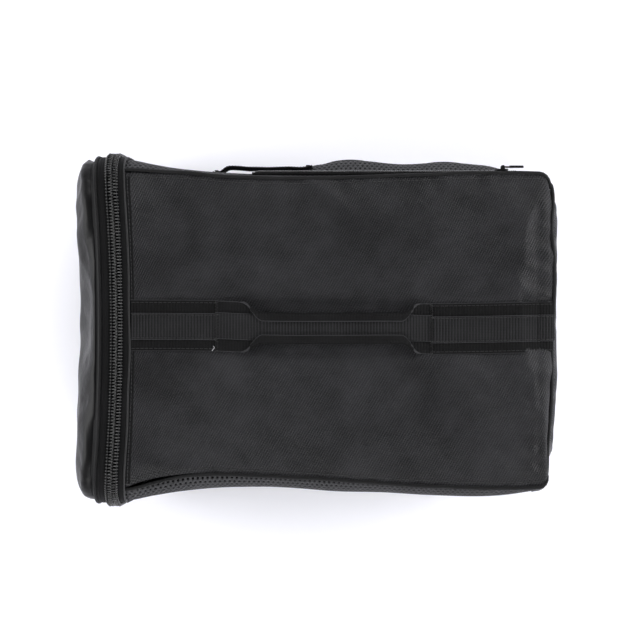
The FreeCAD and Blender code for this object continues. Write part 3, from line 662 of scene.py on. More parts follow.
def ring_point(side, share):
    """A point on the end wall's seam: share 0 to 1 from the upper corner to the lower one."""
    z_high = RING_Z[1] - RING_CORNER + RING_DIAGONAL
    z_low = RING_Z[0] + RING_CORNER - RING_DIAGONAL
    z = z_high + (z_low - z_high) * share
    over = np.clip(np.maximum(z - (RING_Z[1] - RING_CORNER), RING_Z[0] + RING_CORNER - z), 0, 1)
    y = RING_HALF - RING_CORNER + np.sqrt(np.maximum(RING_CORNER**2 - over**2, 0))
    return side * y, z


PANEL_FOLDS = [
    ((-8, 118), (24, 92), 6, 1.3),
    ((58, -50), (92, -10), 8, 1.5),
    ((96, -16), (160, -74), 10, 1.7),
    ((70, -62), (120, -100), 12, 1.1),
    ((-138, -100), (-92, -107), 6, 1.5),
    ((-140, -84), (-112, -96), 5, 1.0),
    ((126, 110), (168, 80), 9, 1.3),
    ((-60, 100), (-112, 60), 14, 1.0),
    ((20, -108), (60, -70), 12, 1.1),
    ((110, 90), (60, 45), 16, 0.9),
    ((-136, 50), (-122, 100), 8, 1.2),
    ((150, 40), (168, 20), 4, 1.3),
    ((140, -92), (168, -110), 6, 1.5),
]
END_FOLDS = [
    ((176, 100), (146, 76), 6, 2.2),
    ((177, 84), (152, 72), 4, 1.6),
    ((177, 62), (150, 60), 5, 1.9),
    ((178, 44), (158, 48), 3.5, 1.4),
    ((178, 30), (160, 24), 3.5, 1.9),
    ((178, 18), (164, 32), 3, 1.4),
    ((177, -34), (154, -28), 5, 1.8),
    ((178, -50), (160, -52), 4, 1.5),
    ((178, -66), (152, -56), 5, 2.0),
    ((177, -84), (156, -78), 4, 1.5),
    ((176, -100), (150, -84), 6, 2.2),
]


END_LEAN = [(-120, -3.4), (-100, -3.2), (-60, -1.0), (0, 0.6), (55, 1.8), (80, -0.2), (98, 0.8),
            (120, -0.8)]
END_CREASE = [(-120, 176), (-100, 161), (-86, 165), (-60, 166), (-34, 162), (-20, 159), (22, 151),
              (50, 156), (88, 161), (104, 170), (120, 178)]


def end_lean(y, z):
    """How far the end wall's seam wanders along the bag: its stuffing is uneven."""
    return through(END_LEAN, y) * smooth_step(z, 0.10, 0.18)


def top_height(x, y, s):
    """The top panel's height: a crown between the seams, rising to the rim, with soft folds."""
    z = EDGE_Z - CROWN_SINK + CROWN_RISE * (1 - np.abs(s) ** 3)
    z += 0.7 * MM * swell(x, y, 0.11, 11) * (1 - s**6)
    z += 0.22 * MM * swell(x, y, 0.028, 12)
    for start, end, width, height in PANEL_FOLDS + END_FOLDS:
        z += fold(x, y, start, end, width, height)
    off = np.abs(y - through(STRAP_DRIFT, x))
    z -= 0.9 * MM * (1 - smooth_step(off, 0.017, 0.027))
    past = x - through(END_CREASE, y)
    z -= 0.42 * np.maximum(past, 0) * smooth_step(past, 0, 3 * MM)
    ripple = np.sin(math.tau * x / 0.021 + 3 * swell(x, y, 0.08, 13))
    z += 0.28 * MM * ripple * smooth_step(np.abs(s), 0.80, 0.97)
    mix = flare(x, 15 * MM)
    return z * (1 - mix) + (rim_height(y) - 1.3 * MM) * mix


def top_point(u, s):
    """A point of the top panel: u runs along the bag and over its end, s from seam to seam."""
    x = np.minimum(u, WRAP_X)
    near, far = through(NEAR_SEAM, x), through(FAR_SEAM, x)
    y = near + (s + 1) / 2 * (far - near)
    z = top_height(x, y, s)
    angle = np.clip((u - WRAP_X) / END_ROUND, 0, math.pi / 2)
    turn = 1 - np.cos(angle)
    ring_y = s * (RING_HALF - RING_CORNER + RING_DIAGONAL)
    over = np.clip(np.abs(ring_y) - (RING_HALF - RING_CORNER), 0, RING_CORNER)
    ring_z = RING_Z[1] - RING_CORNER + np.sqrt(RING_CORNER**2 - over**2)
    wave = 1.3 * MM * swell(y, y * 0, 0.030, 21) * np.sin(angle)
    lean = bow(y, z) * flare(x, 25 * MM) + through(END_LEAN, y) * turn
    x = x + lean + (END_ROUND + wave) * np.sin(angle)
    return np.stack([x, y + (ring_y - y) * turn, z + (ring_z - z) * turn], -1)


def top_share(u, y):
    """The share s of the top panel at a place y."""
    x = np.minimum(u, WRAP_X)
    near, far = through(NEAR_SEAM, x), through(FAR_SEAM, x)
    return 2 * (y - near) / (far - near) - 1


WALL_HEIGHT = EDGE_Z - 4 * MM
FOOT_HALF = 121.0 * MM
MOUTH_TOP_Z = 194.6 * MM


def pocket_bulge(x, z):
    """How far the sleeve side swells out: all over, and in two soft humps above the ports."""
    along = smooth_step(x, -0.044, 0.016) * (1 - smooth_step(x, 0.128, 0.168))
    body = 8.0 * (1 + 0.1 * swell(x, z, 0.11, 33)) * along * smooth_step(z, 0.01, 0.08)
    humps = np.exp(-(((x - 0.026) / 0.036) ** 2)) + 0.85 * np.exp(-(((x - 0.099) / 0.032) ** 2))
    hood = 5.0 * humps * smooth_step(z, 0.118, 0.148)
    return MM * (body + hood) * (1 - smooth_step(z, 0.148, 0.175))


def wall_point(side, u, drop):
    """A point of a side wall: side is -1 or 1, drop is the distance down from its upper seam."""
    x = np.minimum(u, WRAP_X)
    share = drop / WALL_HEIGHT
    mix = flare(x, 20 * MM)
    top_z = (EDGE_Z - 1.2 * MM) * (1 - mix) + MOUTH_TOP_Z * mix
    z = top_z + (4.0 * MM - top_z) * share
    seam = np.abs(through(NEAR_SEAM if side < 0 else FAR_SEAM, x))
    wall = np.abs(through(NEAR_WALL if side < 0 else FAR_WALL, x))
    wall = wall + (1.8 * MM if side < 0 else 0)
    bulge = seam + (wall - seam) * (1 - np.exp(-drop / ((9 if side < 0 else 5) * MM)))
    low = smooth_step(z, 4 * MM, 60 * MM)
    y = FOOT_HALF + (bulge - FOOT_HALF) * low
    uneven = (0.7 if side < 0 else 0.35) * MM * swell(x, z, 0.09, 31 + side)
    y += uneven * smooth_step(drop, 0, 0.02)
    if side > 0:
        y = y + pocket_bulge(x, z)
    y = y * (1 - mix) + rim_reach(z) * mix
    angle = np.clip((u - WRAP_X) / END_ROUND, 0, math.pi / 2)
    turn = 1 - np.cos(angle)
    ring_y, ring_z = ring_point(1, share)
    lean = bow(y, z) * flare(x, 25 * MM) + end_lean(side * y, z) * turn
    x = x + lean + END_ROUND * np.sin(angle)
    return np.stack([x, side * (y + (ring_y - y) * turn), z + (ring_z - z) * turn], -1)


# ---- Panels -------------------------------------------------------------------------------------
def make_top_panel(m):
    """The ballistic-nylon top: padded, folded and sewn down along the webbing."""
    u = spaced(PANEL_START, WRAP_X + WRAP_LENGTH, 2.0 * MM)
    s = np.sin(np.linspace(-math.pi / 2, math.pi / 2, 131)) * 0.5 + np.linspace(-1, 1, 131) * 0.5
    grid_u, grid_s = grid(u, s)
    points = top_point(grid_u, grid_s)
    uv = np.stack([grid_u, grid_s * HALF_WIDTH], -1)
    panel = shell("top_panel_cloth", points, uv, PANEL_THICK)
    finish_piece(panel, m["nylon"], replaced=["top_panel", "top_foam"])
    rows = []
    for share in (-0.965, 0.965):
        line = spaced(PANEL_START + 6 * MM, WRAP_X + 8 * MM, 3 * MM)
        path = top_point(line, np.full_like(line, share))
        path[:, 2] += 0.15 * MM
        rows.append(path)
    seam = stitches("top_panel_stitches", rows)
    finish_piece(seam, m["thread"])


MESH_PITCH = 3.7 * MM
MESH_HOLE = 1.35 * MM
MESH_DEPTH = 1.1 * MM


def perforated(name, mapper, size_u, size_v, skip, outward):
    """A closed mesh sheet with a pit in every cell of a honeycomb: spacer mesh."""
    pitch, hole, depth = MESH_PITCH, MESH_HOLE, MESH_DEPTH
    row_step = pitch * math.sqrt(3) / 2
    corner = pitch / math.sqrt(3)
    angles = np.radians([30, 90, 150, 210, 270, 330])
    shared, places, faces, pits = {}, [], [], []

    def corner_index(u, v, level):
        key = (round(u / pitch * 12), round(v / pitch * 12), level)
        if key not in shared:
            shared[key] = len(places)
            places.append((u, v, depth * 1.25 if level else 0.0))
        return shared[key]

    rows = int((size_v[1] - size_v[0]) / row_step)
    columns = int((size_u[1] - size_u[0]) / pitch - 0.5)
    for r in range(rows):
        v = size_v[0] + (r + 0.5) * row_step
        for c in range(columns):
            u = size_u[0] + (c + 0.5 + 0.5 * (r % 2)) * pitch
            if skip is not None and skip(u, v):
                continue
            outer, back = [[corner_index(u + corner * math.cos(a), v + corner * math.sin(a), level)
                            for a in angles] for level in (0, 1)]
            base = len(places)
            for level, radius in ((0.0, hole), (depth * 0.35, hole * 0.86), (depth, hole * 0.8)):
                for a in angles:
                    places.append((u + radius * math.cos(a), v + radius * math.sin(a), level))
            for k in range(6):
                n = (k + 1) % 6
                faces.append((outer[k], outer[n], base + n, base + k))
                faces.append((base + k, base + n, base + 6 + n, base + 6 + k))
                faces.append((base + 6 + k, base + 6 + n, base + 12 + n, base + 12 + k))
            pits.append(len(faces))
            faces.append(tuple(base + 12 + k for k in range(6)))
            faces.append(tuple(reversed(back)))
    edges = dict.fromkeys((a, b) for face in faces for a, b in zip(face, face[1:] + face[:1]))
    back_of = {i: shared[(key[0], key[1], 1)] for key, i in shared.items() if key[2] == 0}
    faces += [(b, a, back_of[a], back_of[b]) for a, b in edges
              if (b, a) not in edges and a in back_of and b in back_of]
    places = np.array(places)
    u, v, sunk = places[:, 0], places[:, 1], places[:, 2]
    tiny = 0.3 * MM
    du = mapper(u + tiny, v) - mapper(u - tiny, v)
    dv = mapper(u, v + tiny) - mapper(u, v - tiny)
    normal = np.cross(du, dv)
    normal *= outward / np.linalg.norm(normal, axis=1, keepdims=True)
    verts = mapper(u, v) - normal * sunk[:, None]
    if outward < 0:
        faces = [tuple(reversed(f)) for f in faces]
    obj = add_mesh(name, verts, faces, np.stack([u, v], 1))
    return obj, pits


def port_oval(part):
    """An arm port's middle in X and in Z, and how far its two half circles stand from it."""
    low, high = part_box("cuff_" + part)
    rise = (high[2] - low[2]) / 2 - (high[0] - low[0]) / 2
    return (low[0] + high[0]) / 2, (low[2] + high[2]) / 2, rise


PORTS = [port_oval("front"), port_oval("rear")]
PORT_RADIUS = 36.2 * MM
POCKET_LOW, POCKET_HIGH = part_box("pocket_zip_coil")


def over_port_or_pocket(u, drop):
    """True where the sleeve side has no cloth: behind the arm ports and the pocket's zip."""
    z = float(wall_point(1, np.array([u]), np.array([drop]))[0, 2])
    for cx, cz, rise in PORTS:
        over = max(abs(z - cz) - rise, 0)
        if math.hypot(u - cx, over) < PORT_RADIUS:
            return True
    return POCKET_LOW[0] < u < POCKET_HIGH[0] and POCKET_LOW[2] < z < POCKET_HIGH[2]


def make_side_walls(m):
    """Both long walls in spacer mesh, with its holes cut as real pits."""
    size_u = (PANEL_START, WRAP_X + WRAP_LENGTH - 1 * MM)
    size_v = (0.5 * MM, WALL_HEIGHT)
    for side, name, nodes, skip in (
        (-1, "mesh_side_cloth", ["mesh_side_panel", "mesh_side_foam"], None),
        (1, "sleeve_side_cloth", ["sleeve_side_panel", "sleeve_side_foam"], over_port_or_pocket),
    ):
        wall, pits = perforated(name, lambda u, v, side=side: wall_point(side, u, v), size_u,
                                size_v, skip, outward=side)
        finish_piece(wall, m["mesh"], replaced=nodes)
        # The pits' floors take the near-black backing material: the dark back layer, partly painted
        # shade in the holes.
        wall.data.materials.append(m["mesh_core"])
        for index in pits:
            wall.data.polygons[index].material_index = 1


def make_edge_piping(m):
    """Bound piping along the four long edges of the bag."""
    u = spaced(PANEL_START, WRAP_X + WRAP_LENGTH, 3 * MM)
    parts = []
    for side in (-1, 1):
        upper = wall_point(side, u, np.zeros_like(u))
        upper[:, 1] += side * (0.2 * MM + 0.3 * MM * swell(u, u * 0, 0.05, 41 + side))
        upper[:, 2] += 0.2 * MM
        parts.append(tube_parts(upper, TOP_CORD, 10))
        lower = wall_point(side, u, np.full_like(u, WALL_HEIGHT))
        lower[:, 2] = np.maximum(lower[:, 2] - 1.2 * MM, 2.5 * MM)
        parts.append(tube_parts(lower, FOOT_CORD, 10))
    piping = join_parts("edge_piping_cord", parts)
    finish_piece(piping, m["piping"], replaced=["edge_piping"])


def rounded_outline(x, half, z_low, z_high, corner, foot, cuts, count):
    """A closed path round a rectangle in the plane at x, its upper corners rounded by corner and
    its lower ones by foot."""
    path = []
    for side, z, radius, start in (
        (1, z_high - corner, corner, 0),
        (-1, z_high - corner, corner, 90),
        (-1, z_low + foot, foot, 180),
        (1, z_low + foot, foot, 270),
    ):
        y = side * (half - radius)
        for turn in np.linspace(0, 90, cuts):
            angle = math.radians(start + turn)
            path.append((x, y + radius * math.cos(angle), z + radius * math.sin(angle)))
    path.append(path[0])
    return resample(path, count=count + 1)[:-1]


def end_ring(x, half, z_low, z_high, corner, count, waver=0.0):
    """A closed path round the end wall, in the plane at x but wandering as the end wall does."""
    path = rounded_outline(x, half, z_low, z_high, corner, corner, 9, count)
    path[:, 0] += waver * swell(path[:, 1], path[:, 2], 0.07, 51) + end_lean(path[:, 1], path[:, 2])
    return path


def make_end_piping(m):
    """Dark piping in the seam round the end wall."""
    path = end_ring(RING_X, RING_HALF, *RING_Z, RING_CORNER, 330, 0.5 * MM)
    piping = tube("end_piping_cord", path, END_CORD, 10, closed=True)
    finish_piece(piping, m["piping"], replaced=["end_piping"])


# ---- Padded pieces by cloth simulation ----------------------------------------------------------
def remeshed(obj, voxel):
    """The object's mesh rebuilt as an even grid of small faces."""
    modifier = obj.modifiers.new("even", "REMESH")
    modifier.mode = "VOXEL"
    modifier.voxel_size = voxel
    modifier.use_smooth_shade = True
    apply_modifiers(obj)


def apply_modifiers(obj):
    """Turns the object's modified shape into its own mesh."""
    bpy.context.view_layer.update()
    graph = bpy.context.evaluated_depsgraph_get()
    mesh = bpy.data.meshes.new_from_object(obj.evaluated_get(graph))
    old = obj.data
    obj.modifiers.clear()
    obj.data = mesh
    bpy.data.meshes.remove(old)


SIM_FRAMES = 20
PRESSURE = 4.0
END_VOXEL = 3.5 * MM
END_SWELL = 4.5 * MM
LID_VOXEL = 4.5 * MM
LID_SWELL = 4.0 * MM
CLOTH = {"quality": 6, "mass": 0.25, "tension_stiffness": 12, "compression_stiffness": 12,
         "shear_stiffness": 4, "bending_stiffness": 0.25, "use_pressure": True}


def inflate(obj, pinned, cap, slack):
    """Swells a closed mesh as cloth under pressure, with its pinned points held, and keeps that
    shape. No point moves further than cap."""
    rest = np.array([v.co for v in obj.data.vertices])
    group = obj.vertex_groups.new(name="held")
    group.add([i for i, p in enumerate(rest) if pinned(p)], 1.0, "REPLACE")
    modifier = obj.modifiers.new("cloth", "CLOTH")
    cloth = modifier.settings
    for key, value in CLOTH.items():
        setattr(cloth, key, value)
    cloth.uniform_pressure_force = PRESSURE
    cloth.shrink_min = cloth.shrink_max = -slack
    cloth.effector_weights.gravity = 0
    cloth.vertex_group_mass = "held"
    modifier.point_cache.frame_start = 1
    modifier.point_cache.frame_end = SIM_FRAMES
    scene = bpy.context.scene
    for frame_number in range(1, SIM_FRAMES + 1):
        scene.frame_set(frame_number)
    graph = bpy.context.evaluated_depsgraph_get()
    swollen = obj.evaluated_get(graph).to_mesh()
    moved = np.array([v.co for v in swollen.vertices])
    obj.evaluated_get(graph).to_mesh_clear()
    obj.modifiers.clear()
    shift = moved - rest
    size = np.linalg.norm(shift, axis=1, keepdims=True)
    shift *= np.minimum(1.0, cap / np.maximum(size, 1e-9))
    obj.data.vertices.foreach_set("co", (rest + shift).ravel())
    obj.data.update()
    scene.frame_set(1)


def box_cloth(obj):
    """Cloth coordinates by each face's main direction, for meshes that a remesh has stripped."""
    mesh = obj.data
    layer = mesh.uv_layers.get("cloth") or mesh.uv_layers.new(name="cloth")
    for polygon in mesh.polygons:
        n = polygon.normal
        axis = max(range(3), key=lambda k: abs(n[k]))
        a, b = [k for k in range(3) if k != axis]
        for loop in polygon.loop_indices:
            co = mesh.vertices[mesh.loops[loop].vertex_index].co
            layer.data[loop].uv = (co[a], co[b])


def smooth_and_shade(obj):
    """One level of subdivision on a remeshed piece, applied, and smooth shading."""
    modifier = obj.modifiers.new("fine", "SUBSURF")
    modifier.levels = 1
    modifier.render_levels = 1
    apply_modifiers(obj)
    obj.data.polygons.foreach_set("use_smooth", [True] * len(obj.data.polygons))


def displaced(obj, amount):
    """Moves every point along its normal by amount(x, y, z)."""
    mesh = obj.data
    co = np.array([v.co for v in mesh.vertices])
    normal = np.array([v.normal for v in mesh.vertices])
    co += normal * amount(co[:, 0], co[:, 1], co[:, 2])[:, None]
    mesh.vertices.foreach_set("co", co.ravel())
    mesh.update()


def end_relief(x, y, z):
    """The end wall's soft bulge, with creases that run in from its corners."""
    front = smooth_step(x - end_lean(y, z), RING_X - 1 * MM, RING_X + 0.6 * MM)
    middle = (RING_Z[0] + RING_Z[1]) / 2
    across, up = np.abs(y) / RING_HALF, np.abs(z - middle) / (RING_Z[1] - middle)
    bulge = 1.6 * MM * (1 - across**3) * (1 - up**3)
    corner = np.clip(across * up, 0, 1) ** 2
    slant = np.abs(y) - np.abs(z - middle)
    crease = np.sin(math.tau * slant / 0.019 + 2 * swell(y, z, 0.06, 62))
    soft = 0.8 * MM * swell(y, z, 0.075, 61) + 0.25 * MM * swell(y, z, 0.022, 63)
    return front * (bulge + soft * (1 - up**8) * (1 - across**8) + 0.5 * MM * corner * crease)


def make_end_border(m):
    """Nylon strips that carry both side walls round to the end wall's seam."""
    u = spaced(WRAP_X - 3 * MM, WRAP_X + WRAP_LENGTH, 1.2 * MM)
    drop = spaced(0, WALL_HEIGHT, 2 * MM)
    for side, name in ((-1, "near"), (1, "far")):
        grid_u, grid_drop = grid(u, drop)
        points = wall_point(side, grid_u, grid_drop)
        pleat = 0.5 * MM * swell(grid_u, grid_drop, 0.02, 64 + side)
        points[:, :, 1] += side * (0.55 * MM + np.maximum(pleat, 0))
        uv = np.stack([grid_u, grid_drop], -1)
        strip = shell("end_border_" + name, points, uv, TRIM_THICK, flip=side < 0)
        face_outward(strip)
        finish_piece(strip, m["nylon"])


def make_end_pad(m):
    """The end wall's padded panel, swollen a little inside its ring of piping."""
    inset = RING_R * 0.6
    outline = (RING_HALF - inset, RING_Z[0] + inset, RING_Z[1] - inset)
    back = RING_X - 7.0 * MM
    stack = []
    for x, pull in ((back, 0.0), (RING_X - 0.6 * MM, 0.0), (RING_X + 1.0 * MM, 4 * MM)):
        half, low, high = outline[0] - pull, outline[1] + pull, outline[2] - pull
        stack.append(end_ring(x, half, low, high, RING_CORNER - inset, 140))
    pad = join_parts("end_pad_cloth", [sweep_parts(stack)])
    remeshed(pad, END_VOXEL)
    inflate(pad, lambda p: p[0] < RING_X - 4 * MM, END_SWELL, slack=0.03)
    smooth_and_shade(pad)
    displaced(pad, end_relief)
    box_cloth(pad)
    finish_piece(pad, m["nylon"], replaced=["end_panel", "end_foam"])


def make_base(m):
    """The bag's underside, from one foot seam to the other, lying a little unevenly."""
    u = spaced(PANEL_START, WRAP_X + WRAP_LENGTH - 1 * MM, 4 * MM)
    s = np.linspace(-1, 1, 61)
    grid_u, grid_s = grid(u, s)
    near = wall_point(-1, u, np.full_like(u, WALL_HEIGHT))
    far = wall_point(1, u, np.full_like(u, WALL_HEIGHT))
    x = near[:, :1] + 0 * grid_s
    y = near[:, 1:2] + (grid_s + 1) / 2 * (far[:, 1:2] - near[:, 1:2])
    flat = 0.35 * MM * (1 + swell(x, y, 0.09, 71))
    mix = np.abs(grid_s) ** 10
    z = np.minimum(flat * (1 - mix) + near[:, 2:3] * mix, near[:, 2:3])
    lift = np.clip((grid_u - WRAP_X) / END_ROUND, 0, 1.2)
    z = z + lift**2 * 2.5 * MM
    points = np.stack([x, y, np.clip(z, 0.1 * MM, 1)], -1)
    base = shell("base_cloth", points, np.stack([x, y], -1), -PANEL_THICK)
    finish_piece(base, m["nylon"], replaced=["base_panel", "base_foam"])


# ---- The rim, the lid and the main zip ----------------------------------------------------------
def arch_length(low):
    """The length of the mouth's arch above a height, on the gusset's face."""
    return 2 * (RIM_TOP - RIM_CORNER - low) + 2 * (RIM_HALF - RIM_CORNER) + math.pi * RIM_CORNER


def arch_point(along, dx, level, low=CHAIN_END_Z):
    """A point on the mouth's arch: along it from the far foot, dx across the zip from its middle
    and level out from the gusset's face."""
    rise = RIM_TOP - RIM_CORNER - low
    across = 2 * (RIM_HALF - RIM_CORNER)
    bend = RIM_CORNER * math.pi / 2
    first = np.clip((along - rise) / RIM_CORNER, 0, math.pi / 2)
    second = np.clip((along - rise - bend - across) / RIM_CORNER, 0, math.pi / 2)
    angle = first + second
    y = RIM_HALF - RIM_CORNER - np.clip(along - rise - bend, 0, across)
    y = y + (RIM_CORNER + level) * np.cos(angle)
    z = low + np.clip(along, 0, rise) - np.clip(along - rise - 2 * bend - across, 0, rise)
    z = z + (RIM_CORNER + level) * np.sin(angle)
    return np.stack([MOUTH_X + dx + bow(y, z), y, z], -1)


def arch_band(name, section, low=CHAIN_END_Z):
    """A band along the arch with a closed section of (dx, level) points in millimetres."""
    along = spaced(0, arch_length(low), 3 * MM)
    rings = [arch_point(along, dx * MM, level * MM, low) for dx, level in section]
    return join_parts(name, [sweep_parts(np.stack(rings, 1))])


def arch_cord(name, dx, level, radius, low):
    """A round cord along the arch."""
    along = spaced(0, arch_length(low), 3 * MM)
    wave = 0.3 * MM * swell(along, along * 0, 0.05, 82)
    return tube(name, arch_point(along, dx + wave, level, low), radius, 8)


COIL_PITCH = 2.35 * MM
COIL_ROD = 0.62 * MM
COIL_LOOP = [(4.7, 1.3, 0.0), (4.5, 2.3, 0.0), (3.4, 2.9, 0.0), (1.7, 3.0, 0.0), (0.0, 2.8, 0.0),
             (-0.8, 2.0, 0.05), (-0.1, 1.3, 0.1), (1.8, 1.2, 0.1), (4.2, 1.2, 0.1)]


def make_zip_half(m, sign, body, side_name, replaced_tape, replaced_coil):
    """One half of the main zip: its tape, its coil's loops and the thread that holds them."""
    tape_edge = 9.3 if sign > 0 else -9.5
    section = [(sign * 0.7, 0.0), (sign * 0.7, 0.7), (tape_edge - sign * 0.4, 0.8),
               (tape_edge, 0.4), (tape_edge - sign * 0.2, 0.0)]
    tape = arch_band("main_zip_tape_" + side_name, section)
    finish_piece(tape, m["tape"], body, [replaced_tape])
    low = CHAIN_END_Z + 1 * MM
    phase = 0.25 if sign > 0 else 0.75
    count = int((arch_length(low) - COIL_PITCH) / COIL_PITCH)
    parts = []
    for k in range(count):
        start = (k + phase) * COIL_PITCH
        loop = [arch_point(np.array(start + shift * COIL_PITCH), sign * dx * MM, level * MM, low)
                for dx, level, shift in COIL_LOOP]
        parts.append(tube_parts(loop, COIL_ROD, 6))
    coil = join_parts("main_zip_coil_" + side_name, parts)
    finish_piece(coil, m["coil"], body, [replaced_coil])
    along = spaced(0, arch_length(low), COIL_PITCH / 4)
    turn = math.tau * (along / COIL_PITCH - phase)
    level = 3.25 * MM + 0.42 * MM * np.cos(turn)
    line = arch_point(along, sign * 3.7 * MM, level, low)
    holding = tube("main_zip_thread_" + side_name, line, 0.2 * MM, 5)
    finish_piece(holding, m["thread_dark"], body)


def make_rim(m):
    """The bag's side of the mouth: binding, zip tape and coil, seam cord and stitches, and a dark
    strip over the top panel's edge as painted shade.
    """
    section = [(3.4, -2.0), (3.4, -0.1), (9.4, -0.1), (9.9, -0.7), (9.9, -3.4), (9.0, -3.4)]
    binding = arch_band("mouth_binding_cloth", section, BASE_Z + 0.3 * MM)
    finish_piece(binding, m["piping"], replaced=["mouth_binding"])
    make_zip_half(m, 1, ROOT, "bag", "body_zip_tape", "body_zip_coil")
    cord = arch_cord("mouth_seam_cord", 9.5 * MM, 0.25 * MM, MOUTH_CORD, BASE_Z + 1.2 * MM)
    finish_piece(cord, m["thread_dark"])
    # A dark strip over the top panel's first millimetres by the mouth seam: painted shade along the
    # seam.
    y = spaced(-0.1165, 0.1165, 3 * MM)
    u = spaced(PANEL_START, PANEL_START + 4.2 * MM, 0.7 * MM)
    grid_u, grid_y = grid(u, y)
    points = top_point(grid_u, top_share(grid_u, grid_y))
    points[:, :, 2] += 0.55 * MM
    band = shell("mouth_seam_shade_strip", points, np.stack([grid_u, grid_y], -1), TRIM_THICK)
    finish_piece(band, m["tape"])
    u = np.full_like(y, PANEL_START + 2.1 * MM)
    path = top_point(u, top_share(u, y))
    path[:, 2] += 0.65 * MM
    seam = stitches("mouth_stitches", [path], 3.0 * MM, 2.0 * MM, 0.34 * MM)
    finish_piece(seam, m["thread"])


def lid_ring(dx, level, count=360):
    """A closed ring of the lid, dx across the rim and level out from the gusset's face."""
    ring = rounded_outline(0, RIM_HALF + level, LID_BOTTOM - level, RIM_TOP + level,
                           RIM_CORNER + level, RIM_LOW_CORNER + level, 13, count)
    ring[:, 0] = MOUTH_X + dx + bow(ring[:, 1], ring[:, 2])
    return ring


LID_BOTTOM = GUSSET_LOW[2] + 0.4 * MM
LID_BACK_DX = -12.4 * MM


def make_lid(m):
    """The zipped lid: gusset, piping, its half of the zip, and the puffed cover."""
    section = [(-0.5, -0.1), (-4.0, -0.05), (-9.0, 0.15), (-11.6, -0.1), (-12.3, -1.0),
               (-16.0, -2.6), (-16.0, -3.6), (-12.0, -2.3), (-6.0, -1.5), (-1.3, -1.6),
               (-1.3, -6.5), (-0.5, -6.5)]
    rings = [lid_ring(dx * MM, level * MM) for dx, level in section]
    gusset = join_parts("lid_gusset_cloth", [sweep_parts(np.stack(rings, 1), closed=True)])
    finish_piece(gusset, m["coated_dark"], LID, ["lid_gusset"])
    make_zip_half(m, -1, LID, "lid", "lid_zip_tape", "lid_zip_coil")
    cord = lid_ring(LID_BACK_DX, 0.3 * MM)
    cord[:, 0] += 0.35 * MM * swell(cord[:, 1], cord[:, 2], 0.06, 91)
    piping = tube("lid_piping_cord", cord, LID_CORD, 10, closed=True)
    finish_piece(piping, m["piping"], LID, ["lid_piping"])
    stack = [lid_ring(dx * MM, level * MM, 150)
             for dx, level in ((-12.6, -1.8), (-16.0, -2.2), (-20.6, -0.9), (-22.4, -1.4),
                               (-24.4, -5.0), (-26.0, -12.0), (-27.0, -26.0))]
    cover = join_parts("lid_cover_cloth", [sweep_parts(stack)])
    remeshed(cover, LID_VOXEL)
    inflate(cover, lambda p: p[0] > MOUTH_X - 15.5 * MM, LID_SWELL, slack=0.015)
    smooth_and_shade(cover)
    displaced(cover, lid_relief)
    box_cloth(cover)
    finish_piece(cover, m["coated"], LID, ["lid_cover", "lid_foam"])


def lid_relief(x, y, z):
    """The lid's soft dents and creases, fading out at the piping."""
    free = smooth_step(-x, -(MOUTH_X - 14 * MM), -(MOUTH_X - 22 * MM))
    dent = 0.8 * MM * swell(y, z, 0.12, 92) + 0.22 * MM * swell(y, z, 0.03, 93)
    dent -= 2.6 * MM * np.exp(-(((y - 0.018) / 0.032) ** 2)) * smooth_step(z, 0.15, 0.2)
    dent += 0.25 * MM * np.sin(math.tau * y / 0.041 + 4 * swell(y, z, 0.1, 94))
    return free * dent


def make_sill(m):
    """The front sill under the lid, the tabs on the zip's ends and the hinge strip."""
    low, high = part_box("front_sill")
    y = spaced(low[1], high[1], 4 * MM)
    rings = []
    for place in y:
        end = 1 - 0.35 * smooth_step(abs(place), high[1] - 4 * MM, high[1])
        wave = 0.3 * MM * float(swell(np.array(place), np.array(0.0), 0.05, 101))
        middle, half = (low[0] + high[0]) / 2, (high[0] - low[0]) / 2 * end
        front = middle - half + 1.5 * MM
        top = high[2] - 0.4 * MM
        rings.append([(front + 0.8 * MM, place, low[2] + 0.2 * MM),
                      (front + wave * 0.5, place, low[2] + 2 * MM),
                      (front + wave, place, top / 2),
                      (front, place, top - 2 * MM),
                      (front + 0.8 * MM, place, top),
                      (middle + half, place, top),
                      (middle + half, place, low[2] + 0.2 * MM)])
    sill = join_parts("front_sill_cloth", [sweep_parts(rings)])
    finish_piece(sill, m["nylon"], replaced=["front_sill"])
    low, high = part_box("zip_end_tabs")
    parts = []
    for side in (-1, 1):
        rings = []
        for z in spaced(low[2], high[2] - 0.6 * MM, 2 * MM):
            trim = 0.5 * MM * (abs(2 * (z - low[2]) / (high[2] - low[2]) - 1)) ** 8
            x0, x1 = MOUTH_X + 1.0 * MM + trim, high[0] - trim
            y0, y1 = side * (RIM_HALF - 0.3 * MM), side * (high[1] - 0.8 * MM - trim)
            rings.append([(x0, y0, z), (x0, y1, z), (x1, y1, z), (x1, y0, z)])
        parts.append(sweep_parts(rings))
    tabs = join_parts("zip_end_tab_cloth", parts)
    finish_piece(tabs, m["piping"], replaced=["zip_end_tabs"])
    low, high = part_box("lid_hinge_strip")
    profile = [(-147.6, 28.2), (-150.0, 28.5), (-152.4, 28.6), (-154.0, 29.2), (-154.7, 30.6),
               (-154.9, 33.0), (-154.9, 37.5)]
    line = resample([(x * MM, 0, z * MM) for x, z in profile], 0.8 * MM)
    y = spaced(low[1], high[1], 4 * MM)
    uv = np.stack(grid(lengths_along(line), y), -1)
    strip = shell("lid_hinge_strip_cloth", strip_points(line, y), uv, HINGE_THICK)
    finish_piece(strip, m["coated_dark"], None, ["lid_hinge_strip"])
    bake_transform(strip)


# ---- Webbing and the carrying handle ------------------------------------------------------------
FOLD_Q = 9.65 * MM
FOLD_R = 1.55 * MM
GRIP_FLOOR = GRIP_LOW[2]
HANDLE_HALF = 19.2 * MM


